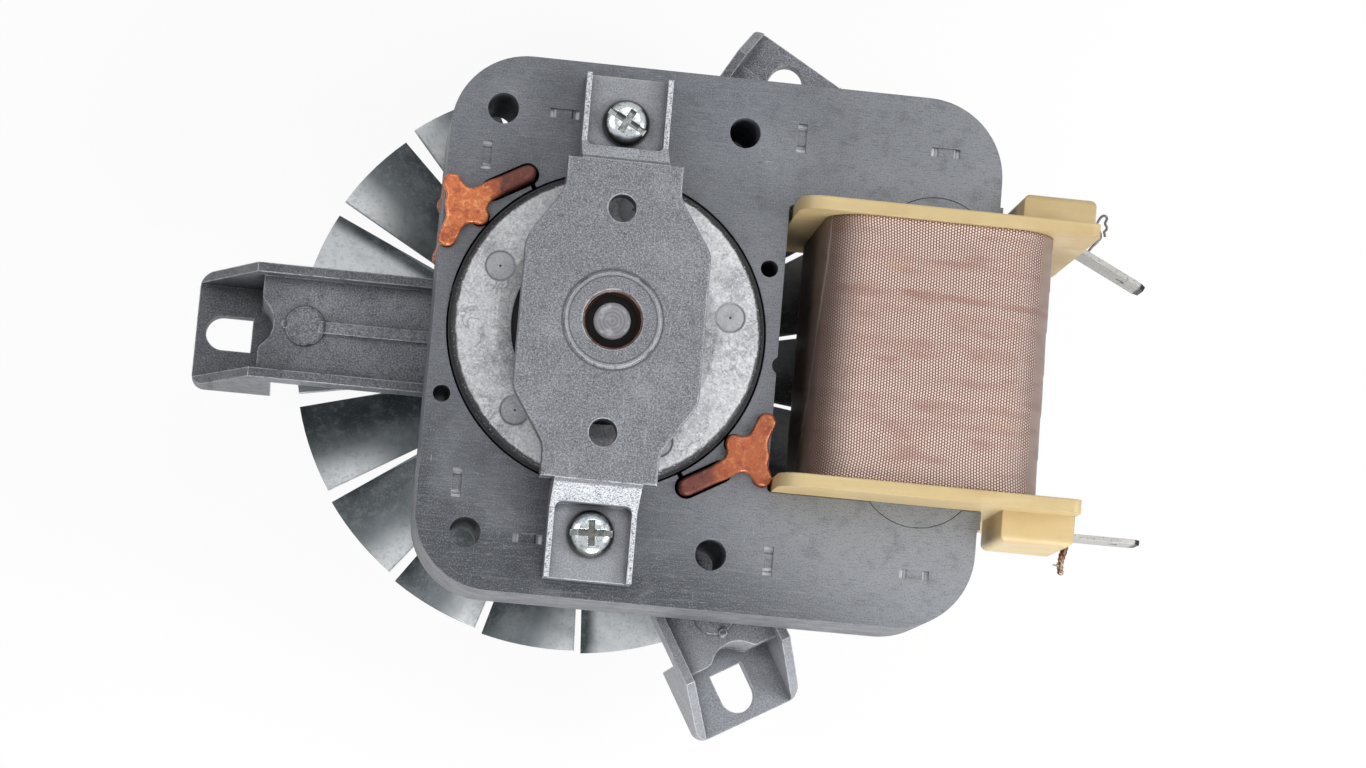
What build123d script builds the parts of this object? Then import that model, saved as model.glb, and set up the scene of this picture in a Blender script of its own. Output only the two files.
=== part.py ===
from build123d import *
from math import atan2, cos, degrees, hypot, radians, sin, sqrt
import os

# Oven fan motor: a shaded-pole motor with a C-shaped laminated stator, one coil on a core bar,
# a cast rear bridge and a three-legged cast front bracket, and a pressed cooling fan.
# Z runs along the shaft towards the rear bearing, X from the shaft to the coil. The origin is
# on the shaft's axis in the plane of the feet's undersides. Millimetres.

# fits
running_clearance = 0.03    # shaft in a bush, on the radius
seat_clearance = 0.04       # a piece dropped or pushed into its seat
bobbin_clearance = 0.1      # bobbin on the core bar and between the legs
screw_clearance = 0.15      # a screw's shank in a plain hole, on the radius
notch_clearance = 0.27      # copper in a punched notch
end_play = 0.3              # rotor along the shaft's axis, at each bush
past = 1.0                  # how far a cutting shape runs past what it cuts

# shaft
shaft_diameter = 6.0
shaft_drive_length = 24.0   # below the feet
shaft_chamfer = 0.3
shaft_recess = 1.3          # rear end below the bearing boss
drive_flat_length = 13.0
drive_flat_depth = 0.5
ring_groove_rise = 4.0      # retaining ring's groove under the fan's hub, above the feet
ring_groove_width = 0.8
ring_groove_depth = 0.5

# stator
stack_height = 20.0
bore_radius = 26.18
pole_half_width = 28.3      # from the shaft's axis to the stator's left edge and to the window
yoke_half_height = 44.1
pole_corner_radius = 12.6   # at the pole's end
leg_corner_radius = 13.0    # at the coil's end
window_half_height = 23.9
window_corner_radius = 0.8
leg_toe = 2.8               # legs past the core bar
leg_lip_length = 3.0
leg_lip_depth = 0.5
mount_hole_radius = 2.55
mount_hole_spacing_x = 40.0
mount_hole_spacing_y = 70.0
pin_hole_radius = 1.43
pin_hole_x = 25.8
pin_hole_y = 12.85
edge_nick_radius = 1.5
edge_nick_depth = 0.8
edge_nick_y = -3.0
interlock_length = 4.8
interlock_width = 1.55
interlock_depth = 0.8
interlock_crest_depth = 0.3
interlock_crest_length = 2.3
interlock_end_flat = 0.55
interlock_edge_distance = 9.0   # from the stator's top and bottom edges
interlock_side_x = 22.05
interlock_side_y = 27.05
interlock_near_x = 9.9
interlock_web_x = 29.45
interlock_leg_x = 53.5

# core bar
core_centre_x = 52.9
core_width = 15.2
core_end_radius = 10.0
core_end_rise = 3.5         # how far its round ends reach into the legs
core_joint_gap = 0.12

# shading rings: places of the upper left one, as depth behind the bore and angle from +X
slot_start_depth = 3.4
slot_start_angle = 133.9
slot_end_depth = 2.5
slot_end_angle = 121.8
inner_notch_depth = 1.5
inner_notch_angle = 143.3
heart_depth = 4.8
heart_angle = 144.2
edge_notch_inset = 1.0      # notch centres from the left edge
upper_notch_y = 21.7
lower_notch_y = 12.6
notch_radius = 1.57
shading_slot_radius = 1.9
shading_slit = 0.8
shading_plate = 1.5
shading_bar_radius = 1.45
shading_arm_radius = 1.6
shading_heart_radius = 3.1
shading_blend_radius = 1.6

# coil and bobbin
coil_width = 38.1
coil_depth = 40.4
coil_corner_radius = 7.0
tape_thickness = 0.6
bobbin_wall = 1.2
flange_thickness = 2.2
flange_pole_gap = 0.7       # between the stator's window edge and the flanges
flange_reach = 25.5         # from the core bar's centre to the flanges' right edge
flange_margin = 0.8         # how far a flange stands past the coil, front and rear
flange_left_radius = 4.0
flange_right_radius = 1.5
housing_width = 12.0
housing_height = 5.0
housing_above = 15.0        # from the stack's middle
housing_below = 3.5
housing_round = 1.2
housing_wall = 1.1
housing_end_wall = 1.65
housing_pocket_width = 5.4

# terminals
tab_width = 6.3
tab_thickness = 0.8
lower_tab_reach = 13.4
upper_tab_reach = 12.6
tab_grip = 4.5
tab_above_middle = 1.0
tab_tip_chamfer = 1.0
tab_hole_radius = 0.8
tab_hole_from_tip = 4.0
upper_tab_angle = -26.0
upper_tab_drop = 1.4        # below the flange's outer face
lower_tab_rise = 1.9        # past the flange's outer face
tail_wire_radius = 0.28
tail_wire_out = 1.6         # from the flange's edge, along the upper tab
tail_wire_bend = 0.6
tail_wire_rise = 3.0        # straight up from the tab
tail_wire_top_out = 2.6     # the loop's outer and inner top corners, and its end
tail_wire_top_rise = 3.4
tail_wire_turn_out = 1.2
tail_wire_turn_rise = 3.2
tail_wire_end_in = 1.0
tail_wire_end_rise = 2.0
tail_bundle_root_radius = 0.7
tail_bundle_tip_radius = 0.45
tail_bundle_length = 8.4
tail_bundle_out = 1.3
tail_bundle_lean = 4.0

# rotor
air_gap = 0.33
cage_ring_height = 1.8
cage_ring_inner_radius = 15.7
cage_ring_slope_height = 1.4
cage_ring_land_radius = 18.0
cage_ring_fillet = 1.1
cage_clear_gap = 0.35       # the end ring is this much smaller than the rotor's laminations
bar_count = 19
bar_radius = 1.7
bar_wall = 1.4              # steel outside the bars
ejector_mark_radius = 2.4
ejector_mark_depth = 0.15
ejector_mark_count = 5
ejector_mark_circle_radius = 20.2
ejector_mark_phase = 10.8

# bearings
bush_radius = 6.0
bush_length = 8.0
bearing_end_wall = 1.6      # from a bush's outer end to the boss's outer face
bearing_open_end = 0.6      # how far a bush stands out of its boss on the inner side
felt_radius = 8.5
felt_height = 2.2
felt_step = 0.4             # from a bush's middle to its felt
bearing_wall = 2.5
bearing_hole_radius = 4.6
clip_thickness = 0.4
clip_slots = 6
clip_slot_width = 1.4
clip_slot_depth = 1.3
washer_radius = 6.0
front_washer_height = 1.2
spacer_wall = 2.0

# rear bridge
bridge_height = 11.5        # above the stator's rear face
bridge_plate = 3.3
bridge_half_width = 15.0
bridge_neck_half_width = 9.4
bridge_neck_y = 26.0
bridge_waist_y = 12.3       # where the wide part starts to narrow
bridge_shoulder_y = 20.8    # where the neck starts
bridge_bend_radius = 4.5
bridge_hole_radius = 2.3
bridge_hole_spacing = 36.5
boss_radius = 7.85
boss_rise = 0.3
boss_edge_chamfer = 0.18
boss_hole_chamfer = 0.35
lug_half_width = 7.1
lug_outer_y = 41.4
lug_bore_gap = 1.2          # from the stator's bore to the lug
lug_lean = 2.9              # inner face, towards the shaft, over its height
lug_wall = 0.85
lug_floor = 3.0
lug_rail_height = 5.2
lug_slope_y = 30.0
lug_pocket_radius = 1.2
edge_round = 0.35

# screws
screw_diameter = 4.0
screw_length = 30.0
screw_head_diameter = 7.8
screw_head_height = 2.6
screw_head_round = 2.3
screw_neck = 0.5            # shank into the head
screw_spacing = 67.6
screw_slot_width = 1.0
screw_slot_depth = 0.9
screw_cross_width = 1.1
screw_cross_length = 4.2
screw_cross_depth = 1.3
upper_screw_turn = -28.0
lower_screw_turn = 3.0

# front bracket
arm_height = 20.0           # top of the arms' floor above the feet
arm_floor = 2.2
arm_half_width = 9.75
arm_rim = 1.6
arm_rim_height = 3.0
arm_rim_reach = 57.6
arm_angles = (180.0, 60.0, -60.0)
riser_thickness = 1.8
standoff_height = 8.0       # from the arms' floor to the stator's front face
standoff_radius = 5.7       # merges into the walls beside it
cross_half_width = 6.8
cross_reach = 39.5
hub_radius = 20.0
front_bush_rise = 1.0       # a bush's middle above the arms' floor
foot_plate = 3.0
foot_past_slot = 4.7        # from the slot's circle to the foot's end
foot_corner_radius = 2.2
foot_wing_tip = 0.8         # wing's height above the foot plate at its outer end
slot_circle_radius = 62.7
slot_radius = 3.0
slot_straight = 4.9         # from the slot's circle inwards
screw_relief_radius = 4.7
screw_relief_reach = 58.8
screw_relief_blend = 1.6
arm_pad_radius = 3.3
arm_pad_circle_radius = 48.8
arm_pad_height = 0.35
arm_pip_radius = 0.7
arm_pip_height = 0.7
arm_rib_width = 2.0
arm_rib_height = 0.9

# fan
fan_radius = 49.84
fan_blades = 18
fan_sheet = 0.6
fan_below_arms = 8.8        # from the arms' underside to the middle of the sheet
fan_room = 4.7              # from the fan's rim to the legs
blade_twist = 22.0
blade_root_radius = 27.0
blade_trim = 2.0            # each blade is twisted on past the rim, then trimmed to it
blade_slit = 0.35
fan_gap_angle = 13.0        # the middle of one gap between blades
fan_hub_radius = 6.5
fan_hub_flange_radius = 10.5
fan_hub_flange = 1.2
fan_hub_below = 2.7
fan_hub_gap = 1.4           # from the hub to the front bearing's boss

# places worked out from the sizes above
shaft_radius = shaft_diameter / 2
screw_radius = screw_diameter / 2
stator_front_z = arm_height + standoff_height
stator_rear_z = stator_front_z + stack_height
stator_mid_z = (stator_front_z + stator_rear_z) / 2
bridge_top_z = stator_rear_z + bridge_height
boss_top_z = bridge_top_z + boss_rise
rear_bush_z = boss_top_z - bearing_end_wall - bush_length / 2
front_bush_z = arm_height + front_bush_rise
housing_boss_radius = felt_radius + bearing_wall
screw_y = screw_spacing / 2
screw_seat_z = stator_rear_z + lug_floor
rotor_radius = bore_radius - air_gap
leg_reach = core_centre_x + core_width / 2 + leg_toe
core_seat_y = window_half_height + core_end_rise - core_end_radius
bobbin_half_x = core_width / 2 + bobbin_clearance + bobbin_wall
bobbin_half_z = stack_height / 2 + bobbin_clearance + bobbin_wall
flange_outer_y = window_half_height - bobbin_clearance
flange_inner_y = flange_outer_y - flange_thickness
flange_left_x = pole_half_width + flange_pole_gap
flange_right_x = core_centre_x + flange_reach
tab_mid_z = stator_mid_z + tab_above_middle
arm_floor_reach = fan_radius + fan_room + riser_thickness
arm_under_z = arm_height - arm_floor
foot_reach = slot_circle_radius + foot_past_slot
fan_low_z = arm_under_z - fan_below_arms - fan_sheet / 2
fan_high_z = fan_low_z + fan_sheet
front_boss_z = front_bush_z - bush_length / 2 - bearing_end_wall
rim_top_z = arm_height + arm_rim_height


def prism(sketch, low, high):
    return extrude(Pos(0, 0, low) * sketch, high - low)


def block(x0, x1, y0, y1, z0, z1):
    centre = Pos((x0 + x1) / 2, (y0 + y1) / 2, (z0 + z1) / 2)
    return centre * Box(abs(x1 - x0), abs(y1 - y0), abs(z1 - z0))


def disc(radius, low, high, x=0.0, y=0.0):
    return prism(Pos(x, y) * Circle(radius), low, high)


def ring(outer, inner, low, high):
    return disc(outer, low, high) - disc(inner, low - past, high + past)


def strip(x0, x1, y0, y1):
    return Pos((x0 + x1) / 2, (y0 + y1) / 2) * Rectangle(x1 - x0, y1 - y0)


def capsule(start, end, radius):
    length = hypot(end[0] - start[0], end[1] - start[1])
    turn = degrees(atan2(end[1] - start[1], end[0] - start[0]))
    middle = Pos((start[0] + end[0]) / 2, (start[1] + end[1]) / 2)
    return middle * Rot(0, 0, turn) * SlotCenterToCenter(length, 2 * radius)


def half_turn(shape):
    return Rot(0, 0, 180) * shape


def behind_bore(depth, angle):
    reach = bore_radius + depth
    return reach * cos(radians(angle)), reach * sin(radians(angle))


edge_notch_x = edge_notch_inset - pole_half_width
upper_notch = (edge_notch_x, upper_notch_y)
lower_notch = (edge_notch_x, lower_notch_y)
inner_notch = behind_bore(inner_notch_depth, inner_notch_angle)
slot_start = behind_bore(slot_start_depth, slot_start_angle)
slot_end = behind_bore(slot_end_depth, slot_end_angle)
shading_heart = behind_bore(heart_depth, heart_angle)
notches = (upper_notch, lower_notch, inner_notch)


def bore_slit(depth, angle):
    slit = strip(bore_radius - past, bore_radius + depth, -shading_slit / 2, shading_slit / 2)
    return Rot(0, 0, angle) * slit


def shading_cut():
    cut = capsule(slot_start, slot_end, shading_slot_radius)
    for notch in notches:
        cut += Pos(*notch) * Circle(notch_radius)
    cut += bore_slit(slot_end_depth, slot_end_angle)
    cut += bore_slit(inner_notch_depth, inner_notch_angle)
    return cut


def interlock(x, y, turn):
    # a stamped dimple that holds the laminations together: a flat crest between two deep ends
    half = interlock_length / 2
    flat = half - interlock_end_flat
    crest = interlock_crest_length / 2
    section = Polygon((-half, 0), (-half, -interlock_depth), (-flat, -interlock_depth),
                      (-crest, -interlock_crest_depth), (crest, -interlock_crest_depth),
                      (flat, -interlock_depth), (half, -interlock_depth), (half, 0), align=None)
    dimple = extrude(Plane.XZ * section, interlock_width / 2, both=True)
    return Pos(x, y, stator_rear_z) * Rot(0, 0, turn) * dimple


def stator_outline():
    outline = strip(-pole_half_width, leg_reach, -yoke_half_height, yoke_half_height)
    outline = fillet(outline.vertices().sort_by(Axis.X)[:2], pole_corner_radius)
    outline = fillet(outline.vertices().sort_by(Axis.X)[-2:], leg_corner_radius)
    lip_top = window_half_height + leg_lip_length
    outline += strip(leg_reach - past, leg_reach + leg_lip_depth, -lip_top, lip_top)
    window = strip(pole_half_width, leg_reach + leg_lip_depth + past,
                   -window_half_height, window_half_height)
    outline -= fillet(window.vertices().sort_by(Axis.X)[:2], window_corner_radius)
    for side in (1, -1):
        seat = Pos(core_centre_x, side * core_seat_y)
        outline -= seat * Circle(core_end_radius + core_joint_gap)
    return outline - Circle(bore_radius)


def stator_core():
    outline = stator_outline() - shading_cut() - half_turn(shading_cut())
    for x in (-mount_hole_spacing_x / 2, mount_hole_spacing_x / 2):
        for y in (-mount_hole_spacing_y / 2, mount_hole_spacing_y / 2):
            outline -= Pos(x, y) * Circle(mount_hole_radius)
    nick_x = pole_half_width + edge_nick_radius - edge_nick_depth
    outline -= Pos(nick_x, edge_nick_y) * Circle(edge_nick_radius)
    for side in (1, -1):
        outline -= Pos(side * pin_hole_x, side * pin_hole_y) * Circle(pin_hole_radius)
        outline -= Pos(0, side * screw_y) * Circle(screw_radius + screw_clearance)
    core = prism(outline, stator_front_z, stator_rear_z)
    interlock_y = yoke_half_height - interlock_edge_distance
    for side in (1, -1):
        core -= interlock(-interlock_side_x, side * interlock_side_y, 90)
        core -= interlock(-interlock_near_x, side * interlock_y, 0)
        core -= interlock(interlock_web_x, side * interlock_y, 90)
        core -= interlock(interlock_leg_x, side * interlock_y, 0)
    return core


def coil_core():
    # the round ends are wider than the bar, so the bar's sides run on to the legs
    reach = core_seat_y + core_end_radius
    bar = Pos(core_centre_x, 0) * Rectangle(core_width, 2 * reach)
    rounded = Pos(core_centre_x, 0) * Rectangle(core_width, 2 * core_seat_y)
    for side in (1, -1):
        rounded += Pos(core_centre_x, side * core_seat_y) * Circle(core_end_radius)
    return prism(bar & rounded, stator_front_z, stator_rear_z)


def shading_star():
    star = Pos(*shading_heart) * Circle(shading_heart_radius)
    for end in (upper_notch, lower_notch, slot_start):
        star += capsule(shading_heart, end, shading_arm_radius)
    star += capsule(shading_heart, inner_notch, shading_bar_radius)
    star = offset(offset(star, shading_blend_radius), -shading_blend_radius)
    return star + capsule(slot_start, slot_end, shading_bar_radius)


def shading_ring():
    # a copper star on each face, joined by bars through the notches and the slot
    star = shading_star()
    copper = prism(star, stator_rear_z, stator_rear_z + shading_plate)
    copper += prism(star, stator_front_z - shading_plate, stator_front_z)
    low = stator_front_z - shading_plate / 2
    high = stator_rear_z + shading_plate / 2
    for notch in notches:
        copper += disc(notch_radius - notch_clearance, low, high, *notch)
    bar = capsule(slot_start, slot_end, shading_bar_radius)
    copper += prism(bar, low, high)
    return copper


def along_y(sketch, half_length):
    # a sketch drawn in X and Z, run both ways along Y
    body = extrude(sketch, half_length, both=True)
    return Pos(0, 0, stator_mid_z) * Rot(-90, 0, 0) * body


def core_rectangle(half_x, half_z):
    return Pos(core_centre_x, 0) * Rectangle(2 * half_x, 2 * half_z)


def coil_section(inset):
    section = RectangleRounded(coil_width - 2 * inset, coil_depth - 2 * inset,
                               coil_corner_radius - inset)
    return Pos(core_centre_x, 0) * section


def coil_winding():
    inner = core_rectangle(bobbin_half_x + seat_clearance, bobbin_half_z + seat_clearance)
    return along_y(coil_section(tape_thickness) - inner, flange_inner_y - seat_clearance)


def coil_tape():
    shell = coil_section(0) - coil_section(tape_thickness)
    return along_y(shell, flange_inner_y - seat_clearance)


def flange(side):
    half_depth = coil_depth / 2 + flange_margin
    low, high = sorted((side * flange_inner_y, side * flange_outer_y))
    plate = block(flange_left_x, flange_right_x, low, high,
                  stator_mid_z - half_depth, stator_mid_z + half_depth)
    left = plate.edges().filter_by(Axis.Y).sort_by(Axis.X)[:2]
    plate = fillet(left, flange_left_radius)
    right = plate.edges().filter_by(Axis.Y).sort_by(Axis.X)[-2:]
    return fillet(right, flange_right_radius)


def terminal_housing():
    # the box on the +Y flange, open at the front where the winding's ends come in
    left = flange_right_x - housing_width
    top = flange_outer_y + housing_height
    low_z = stator_mid_z - housing_below
    high_z = stator_mid_z + housing_above
    body = block(left, flange_right_x, flange_outer_y - housing_wall, top, low_z, high_z)
    body = fillet(body.edges().group_by(Axis.Y)[-1], housing_round)
    pocket = block(left + housing_wall, left + housing_wall + housing_pocket_width,
                   flange_outer_y + housing_wall, top - housing_wall,
                   low_z - past, high_z - housing_end_wall)
    return body, pocket


def blade(reach, grow=0.0):
    # a flat terminal blade on edge along X, with its grip behind the origin and a bevelled tip
    half = tab_width / 2 + grow
    back = -tab_grip - grow
    shoulder = half - tab_tip_chamfer
    outline = Polygon((back, -half), (reach - tab_tip_chamfer, -half), (reach, -shoulder),
                      (reach, shoulder), (reach - tab_tip_chamfer, half), (back, half), align=None)
    return extrude(Plane.XZ * outline, tab_thickness / 2 + grow, both=True)


def pierced_blade(reach):
    hole = Rot(90, 0, 0) * Cylinder(tab_hole_radius, tab_thickness + 2 * past)
    return blade(reach) - Pos(reach - tab_hole_from_tip, 0, 0) * hole


upper_tab_place = (Pos(flange_right_x, flange_outer_y - upper_tab_drop, tab_mid_z)
                   * Rot(0, 0, upper_tab_angle))
lower_tab_place = Pos(flange_right_x, -flange_outer_y - lower_tab_rise, tab_mid_z)


def terminal_upper():
    return upper_tab_place * pierced_blade(upper_tab_reach)


def terminal_lower():
    return lower_tab_place * pierced_blade(lower_tab_reach)


def bobbin():
    body = along_y(core_rectangle(bobbin_half_x, bobbin_half_z), flange_outer_y)
    body += flange(1) + flange(-1)
    box, pocket = terminal_housing()
    body += box + mirror(box, Plane.XZ)
    body -= pocket + mirror(pocket, Plane.XZ)
    hole = core_rectangle(core_width / 2 + bobbin_clearance, stack_height / 2 + bobbin_clearance)
    body -= along_y(hole, flange_outer_y + past)
    body -= upper_tab_place * blade(upper_tab_reach, seat_clearance)
    body -= lower_tab_place * blade(lower_tab_reach, seat_clearance)
    return body


def tail_upper():
    # one wire from the tab's upper face, up, over and back into the housing's end
    face = flange_right_x
    outer = flange_outer_y
    root = upper_tab_place * Pos(tail_wire_out, 0, 0)
    rise = root * Pos(0, tail_wire_rise, 0)
    route = FilletPolyline(
        root.position, rise.position,
        (face + tail_wire_top_out, outer + tail_wire_top_rise, tab_mid_z),
        (face + tail_wire_turn_out, outer + tail_wire_turn_rise, tab_mid_z),
        (face - tail_wire_end_in, outer + tail_wire_end_rise, tab_mid_z), radius=tail_wire_bend)
    wire = sweep(Plane(origin=route @ 0, z_dir=route % 0) * Circle(tail_wire_radius), path=route)
    inside = tail_wire_end_in + past
    wire -= block(face - inside, face, outer, outer + housing_height, tab_mid_z - inside, tab_mid_z + inside)
    return wire - terminal_upper()


def tail_lower():
    # a soldered bundle from the lower face of the lower tab, leaning back towards the coil
    start = lower_tab_place * Pos(tail_bundle_out, 0, 0) * Rot(0, 0, -tail_bundle_lean)
    cone = Cone(tail_bundle_tip_radius, tail_bundle_root_radius, tail_bundle_length,
                align=(Align.CENTER, Align.CENTER, Align.MAX))
    return start * Rot(-90, 0, 0) * cone - terminal_lower()


def bush(middle):
    half = bush_length / 2
    ball = Pos(0, 0, middle) * Sphere(bush_radius)
    ball &= disc(bush_radius + past, middle - half, middle + half)
    return ball - disc(shaft_radius + running_clearance, middle - half - past, middle + half + past)


def bush_pocket(middle, opens):
    # a ball seat closed on one side and open on the other, with a step for the felt and clip
    seat = Pos(0, 0, middle) * Sphere(bush_radius + seat_clearance)
    mouth = middle + opens * bush_length
    felt_face = middle + opens * felt_step
    seat += disc(bush_radius + seat_clearance, *sorted((middle, mouth)))
    seat += disc(felt_radius, *sorted((felt_face, mouth)))
    return seat


def felt(middle, opens):
    start = middle + opens * felt_step
    low, high = sorted((start, start + opens * felt_height))
    return ring(felt_radius - seat_clearance, bush_radius + seat_clearance, low, high)


def clip(middle, opens):
    # a slotted spring plate that presses the bush into its seat
    depth = felt_step + felt_height
    start = middle + opens * depth
    low, high = sorted((start, start + opens * clip_thickness))
    inner = sqrt(bush_radius ** 2 - depth ** 2) + seat_clearance
    spring = ring(felt_radius - seat_clearance, inner, low, high)
    slot = block(inner - past, inner + clip_slot_depth, -clip_slot_width / 2, clip_slot_width / 2,
                 low - past, high + past)
    for index in range(clip_slots):
        spring -= Rot(0, 0, 360 * index / clip_slots) * slot
    return spring


def bridge_outline():
    points = [(0, bridge_neck_y), (bridge_neck_half_width, bridge_neck_y),
              (bridge_neck_half_width, bridge_shoulder_y), (bridge_half_width, bridge_waist_y)]
    points += [(x, -y) for x, y in reversed(points)]
    half = make_face(Polyline(*points, close=True))
    bends = [v for v in half.vertices() if v.X > past and abs(v.Y) < bridge_neck_y - past]
    half = fillet(bends, bridge_bend_radius)
    return half + mirror(half, Plane.YZ)


def lug():
    # the foot at the +Y end of the bridge: a sloped neck, two rails and a floor for the screw
    rail_top = stator_rear_z + lug_rail_height
    under = bridge_top_z - bridge_plate
    inner_y = bore_radius + lug_bore_gap
    profile = Polygon(
        (inner_y - lug_lean, bridge_top_z), (bridge_neck_y, bridge_top_z), (lug_slope_y, rail_top),
        (lug_outer_y, rail_top), (lug_outer_y, stator_rear_z), (inner_y, stator_rear_z),
        (inner_y - lug_lean, under), align=None)
    body = extrude(Plane.YZ * profile, lug_half_width, both=True)
    inner = lug_half_width - lug_wall
    pocket = block(-inner, inner, lug_slope_y - lug_wall, lug_outer_y + lug_half_width,
                   screw_seat_z, bridge_top_z)
    pocket = fillet(pocket.edges().filter_by(Axis.Z).sort_by(Axis.Y)[:2], lug_pocket_radius)
    screw_hole = disc(screw_radius + screw_clearance, stator_rear_z - past, screw_seat_z + past,
                      0, screw_y)
    return body - pocket - screw_hole


def rear_bridge():
    under = bridge_top_z - bridge_plate
    body = prism(bridge_outline(), under, bridge_top_z)
    body = fillet(body.faces().sort_by(Axis.Z)[-1].edges(), edge_round)
    foot = lug()
    body += foot
    body += half_turn(foot)
    body += disc(housing_boss_radius, rear_bush_z - bush_length / 2 + bearing_open_end, under + past)
    raised = disc(boss_radius, bridge_top_z - past, boss_top_z)
    body += chamfer(raised.faces().sort_by(Axis.Z)[-1].edges(), boss_edge_chamfer)
    body -= bush_pocket(rear_bush_z, -1)
    body -= disc(bearing_hole_radius, rear_bush_z, boss_top_z + past)
    body -= Pos(0, 0, boss_top_z) * Cone(
        bearing_hole_radius, bearing_hole_radius + boss_hole_chamfer, boss_hole_chamfer,
        align=(Align.CENTER, Align.CENTER, Align.MAX))
    for side in (1, -1):
        hole_y = side * bridge_hole_spacing / 2
        body -= disc(bridge_hole_radius, under - past, bridge_top_z + past, 0, hole_y)
    return body


def bridge_screw(turn):
    top = screw_seat_z + screw_head_height
    head = disc(screw_head_diameter / 2, screw_seat_z, top)
    head = fillet(head.faces().sort_by(Axis.Z)[-1].edges(), screw_head_round)
    body = head + disc(screw_radius, screw_seat_z - screw_length, screw_seat_z + screw_neck)
    reach = screw_head_diameter
    wide = screw_slot_width / 2
    cut = block(-reach, reach, -wide, wide, top - screw_slot_depth, top + past)
    half = screw_cross_length / 2
    wide = screw_cross_width / 2
    cut += block(-half, half, -wide, wide, top - screw_cross_depth, top + past)
    cut += block(-wide, wide, -half, half, top - screw_cross_depth, top + past)
    return Rot(0, 0, turn) * (body - cut)


def bridge_screws():
    upper = Pos(0, screw_y, 0) * bridge_screw(upper_screw_turn)
    lower = Pos(0, -screw_y, 0) * bridge_screw(lower_screw_turn)
    return Compound(children=[upper, lower])


def leg():
    # one leg along +X: the arm, the riser down to the foot, and a wing on each side
    body = block(0, arm_rim_reach, -arm_half_width, arm_half_width, arm_under_z, rim_top_z)
    wing = Polygon((fan_radius, 0), (foot_reach, 0), (foot_reach, foot_plate + foot_wing_tip),
                   (arm_rim_reach, rim_top_z), (fan_radius, rim_top_z), align=None)
    foot = extrude(Plane.XZ * wing, arm_half_width, both=True)
    foot = fillet(foot.edges().filter_by(Axis.Z).sort_by(Axis.X)[-2:], foot_corner_radius)
    return body + foot - foot_well()


def foot_well():
    # the open space above the foot plate, with a round bay in the riser for the screw's head
    inner = arm_half_width - arm_rim
    well = strip(arm_floor_reach, foot_reach + past, -inner, inner)
    well += Pos(screw_relief_reach, 0) * Circle(screw_relief_radius)
    bends = [v for v in well.vertices() if abs(v.Y) < screw_relief_radius]
    return prism(fillet(bends, screw_relief_blend), foot_plate, rim_top_z + past)


def relief_wall():
    # the riser bulges inwards round the bay
    wall = disc(screw_relief_radius + arm_rim, 0, arm_height, screw_relief_reach, 0)
    return wall & block(0, arm_floor_reach, -arm_half_width, arm_half_width, 0, arm_height)


def leg_cuts():
    # the arm's channel, the bay over the foot and the D-shaped slot
    inner = arm_half_width - arm_rim
    channel = block(0, arm_floor_reach + past, -inner, inner, arm_height, rim_top_z + past)
    slot = disc(slot_radius, -past, foot_plate + past, slot_circle_radius, 0)
    slot += block(slot_circle_radius - slot_straight, slot_circle_radius, -slot_radius, slot_radius,
                  -past, foot_plate + past)
    return channel + foot_well() + slot


def leg_trim():
    low = arm_height - arm_floor / 2
    pad = disc(arm_pad_radius, low, arm_height + arm_pad_height, arm_pad_circle_radius, 0)
    pad += disc(arm_pip_radius, low, arm_height + arm_pip_height,
                arm_pad_circle_radius + arm_pad_radius, 0)
    rib = block(housing_boss_radius, arm_pad_circle_radius - arm_pad_radius + arm_rib_width / 2,
                -arm_rib_width / 2, arm_rib_width / 2, low, arm_height + arm_rib_height)
    return pad + rib


def front_bracket():
    body = disc(hub_radius, arm_under_z, rim_top_z)
    body += block(-cross_half_width, cross_half_width, -cross_reach, cross_reach,
                  arm_under_z, rim_top_z)
    for angle in arm_angles:
        body += Rot(0, 0, angle) * leg()
    body -= disc(hub_radius - arm_rim, arm_height, rim_top_z + past)
    inner = cross_half_width - arm_rim
    body -= block(-inner, inner, -cross_reach + arm_rim, cross_reach - arm_rim,
                  arm_height, rim_top_z + past)
    body -= disc(fan_radius + fan_room, -past, arm_under_z)
    for angle in arm_angles:
        body += Rot(0, 0, angle) * relief_wall()
    for angle in arm_angles:
        body -= Rot(0, 0, angle) * leg_cuts()
    for angle in arm_angles:
        body += Rot(0, 0, angle) * leg_trim()
    half = bush_length / 2
    body += disc(housing_boss_radius, front_boss_z, front_bush_z + half - bearing_open_end)
    for side in (1, -1):
        body += disc(standoff_radius, arm_under_z, stator_front_z, 0, side * screw_y)
        body -= disc(screw_radius, screw_seat_z - screw_length, stator_front_z + past,
                     0, side * screw_y)
    body -= bush_pocket(front_bush_z, 1)
    return body - disc(bearing_hole_radius, front_bush_z - bush_length, front_bush_z)


def shaft():
    body = disc(shaft_radius, -shaft_drive_length, boss_top_z - shaft_recess)
    body = chamfer(body.edges().filter_by(GeomType.CIRCLE), shaft_chamfer)
    flat = shaft_radius - drive_flat_depth
    body -= block(flat, shaft_diameter, -shaft_diameter, shaft_diameter,
                  -shaft_drive_length - past, drive_flat_length - shaft_drive_length)
    return body - ring(shaft_radius + past, shaft_radius - ring_groove_depth,
                       ring_groove_rise, ring_groove_rise + ring_groove_width)


def bar_places():
    reach = rotor_radius - bar_wall - bar_radius
    for index in range(bar_count):
        turn = radians(360 * index / bar_count)
        yield reach * cos(turn), reach * sin(turn)


def rotor_core():
    outline = Circle(rotor_radius) - Circle(shaft_radius)
    for x, y in bar_places():
        outline -= Pos(x, y) * Circle(bar_radius)
    return prism(outline, stator_front_z, stator_rear_z)


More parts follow.
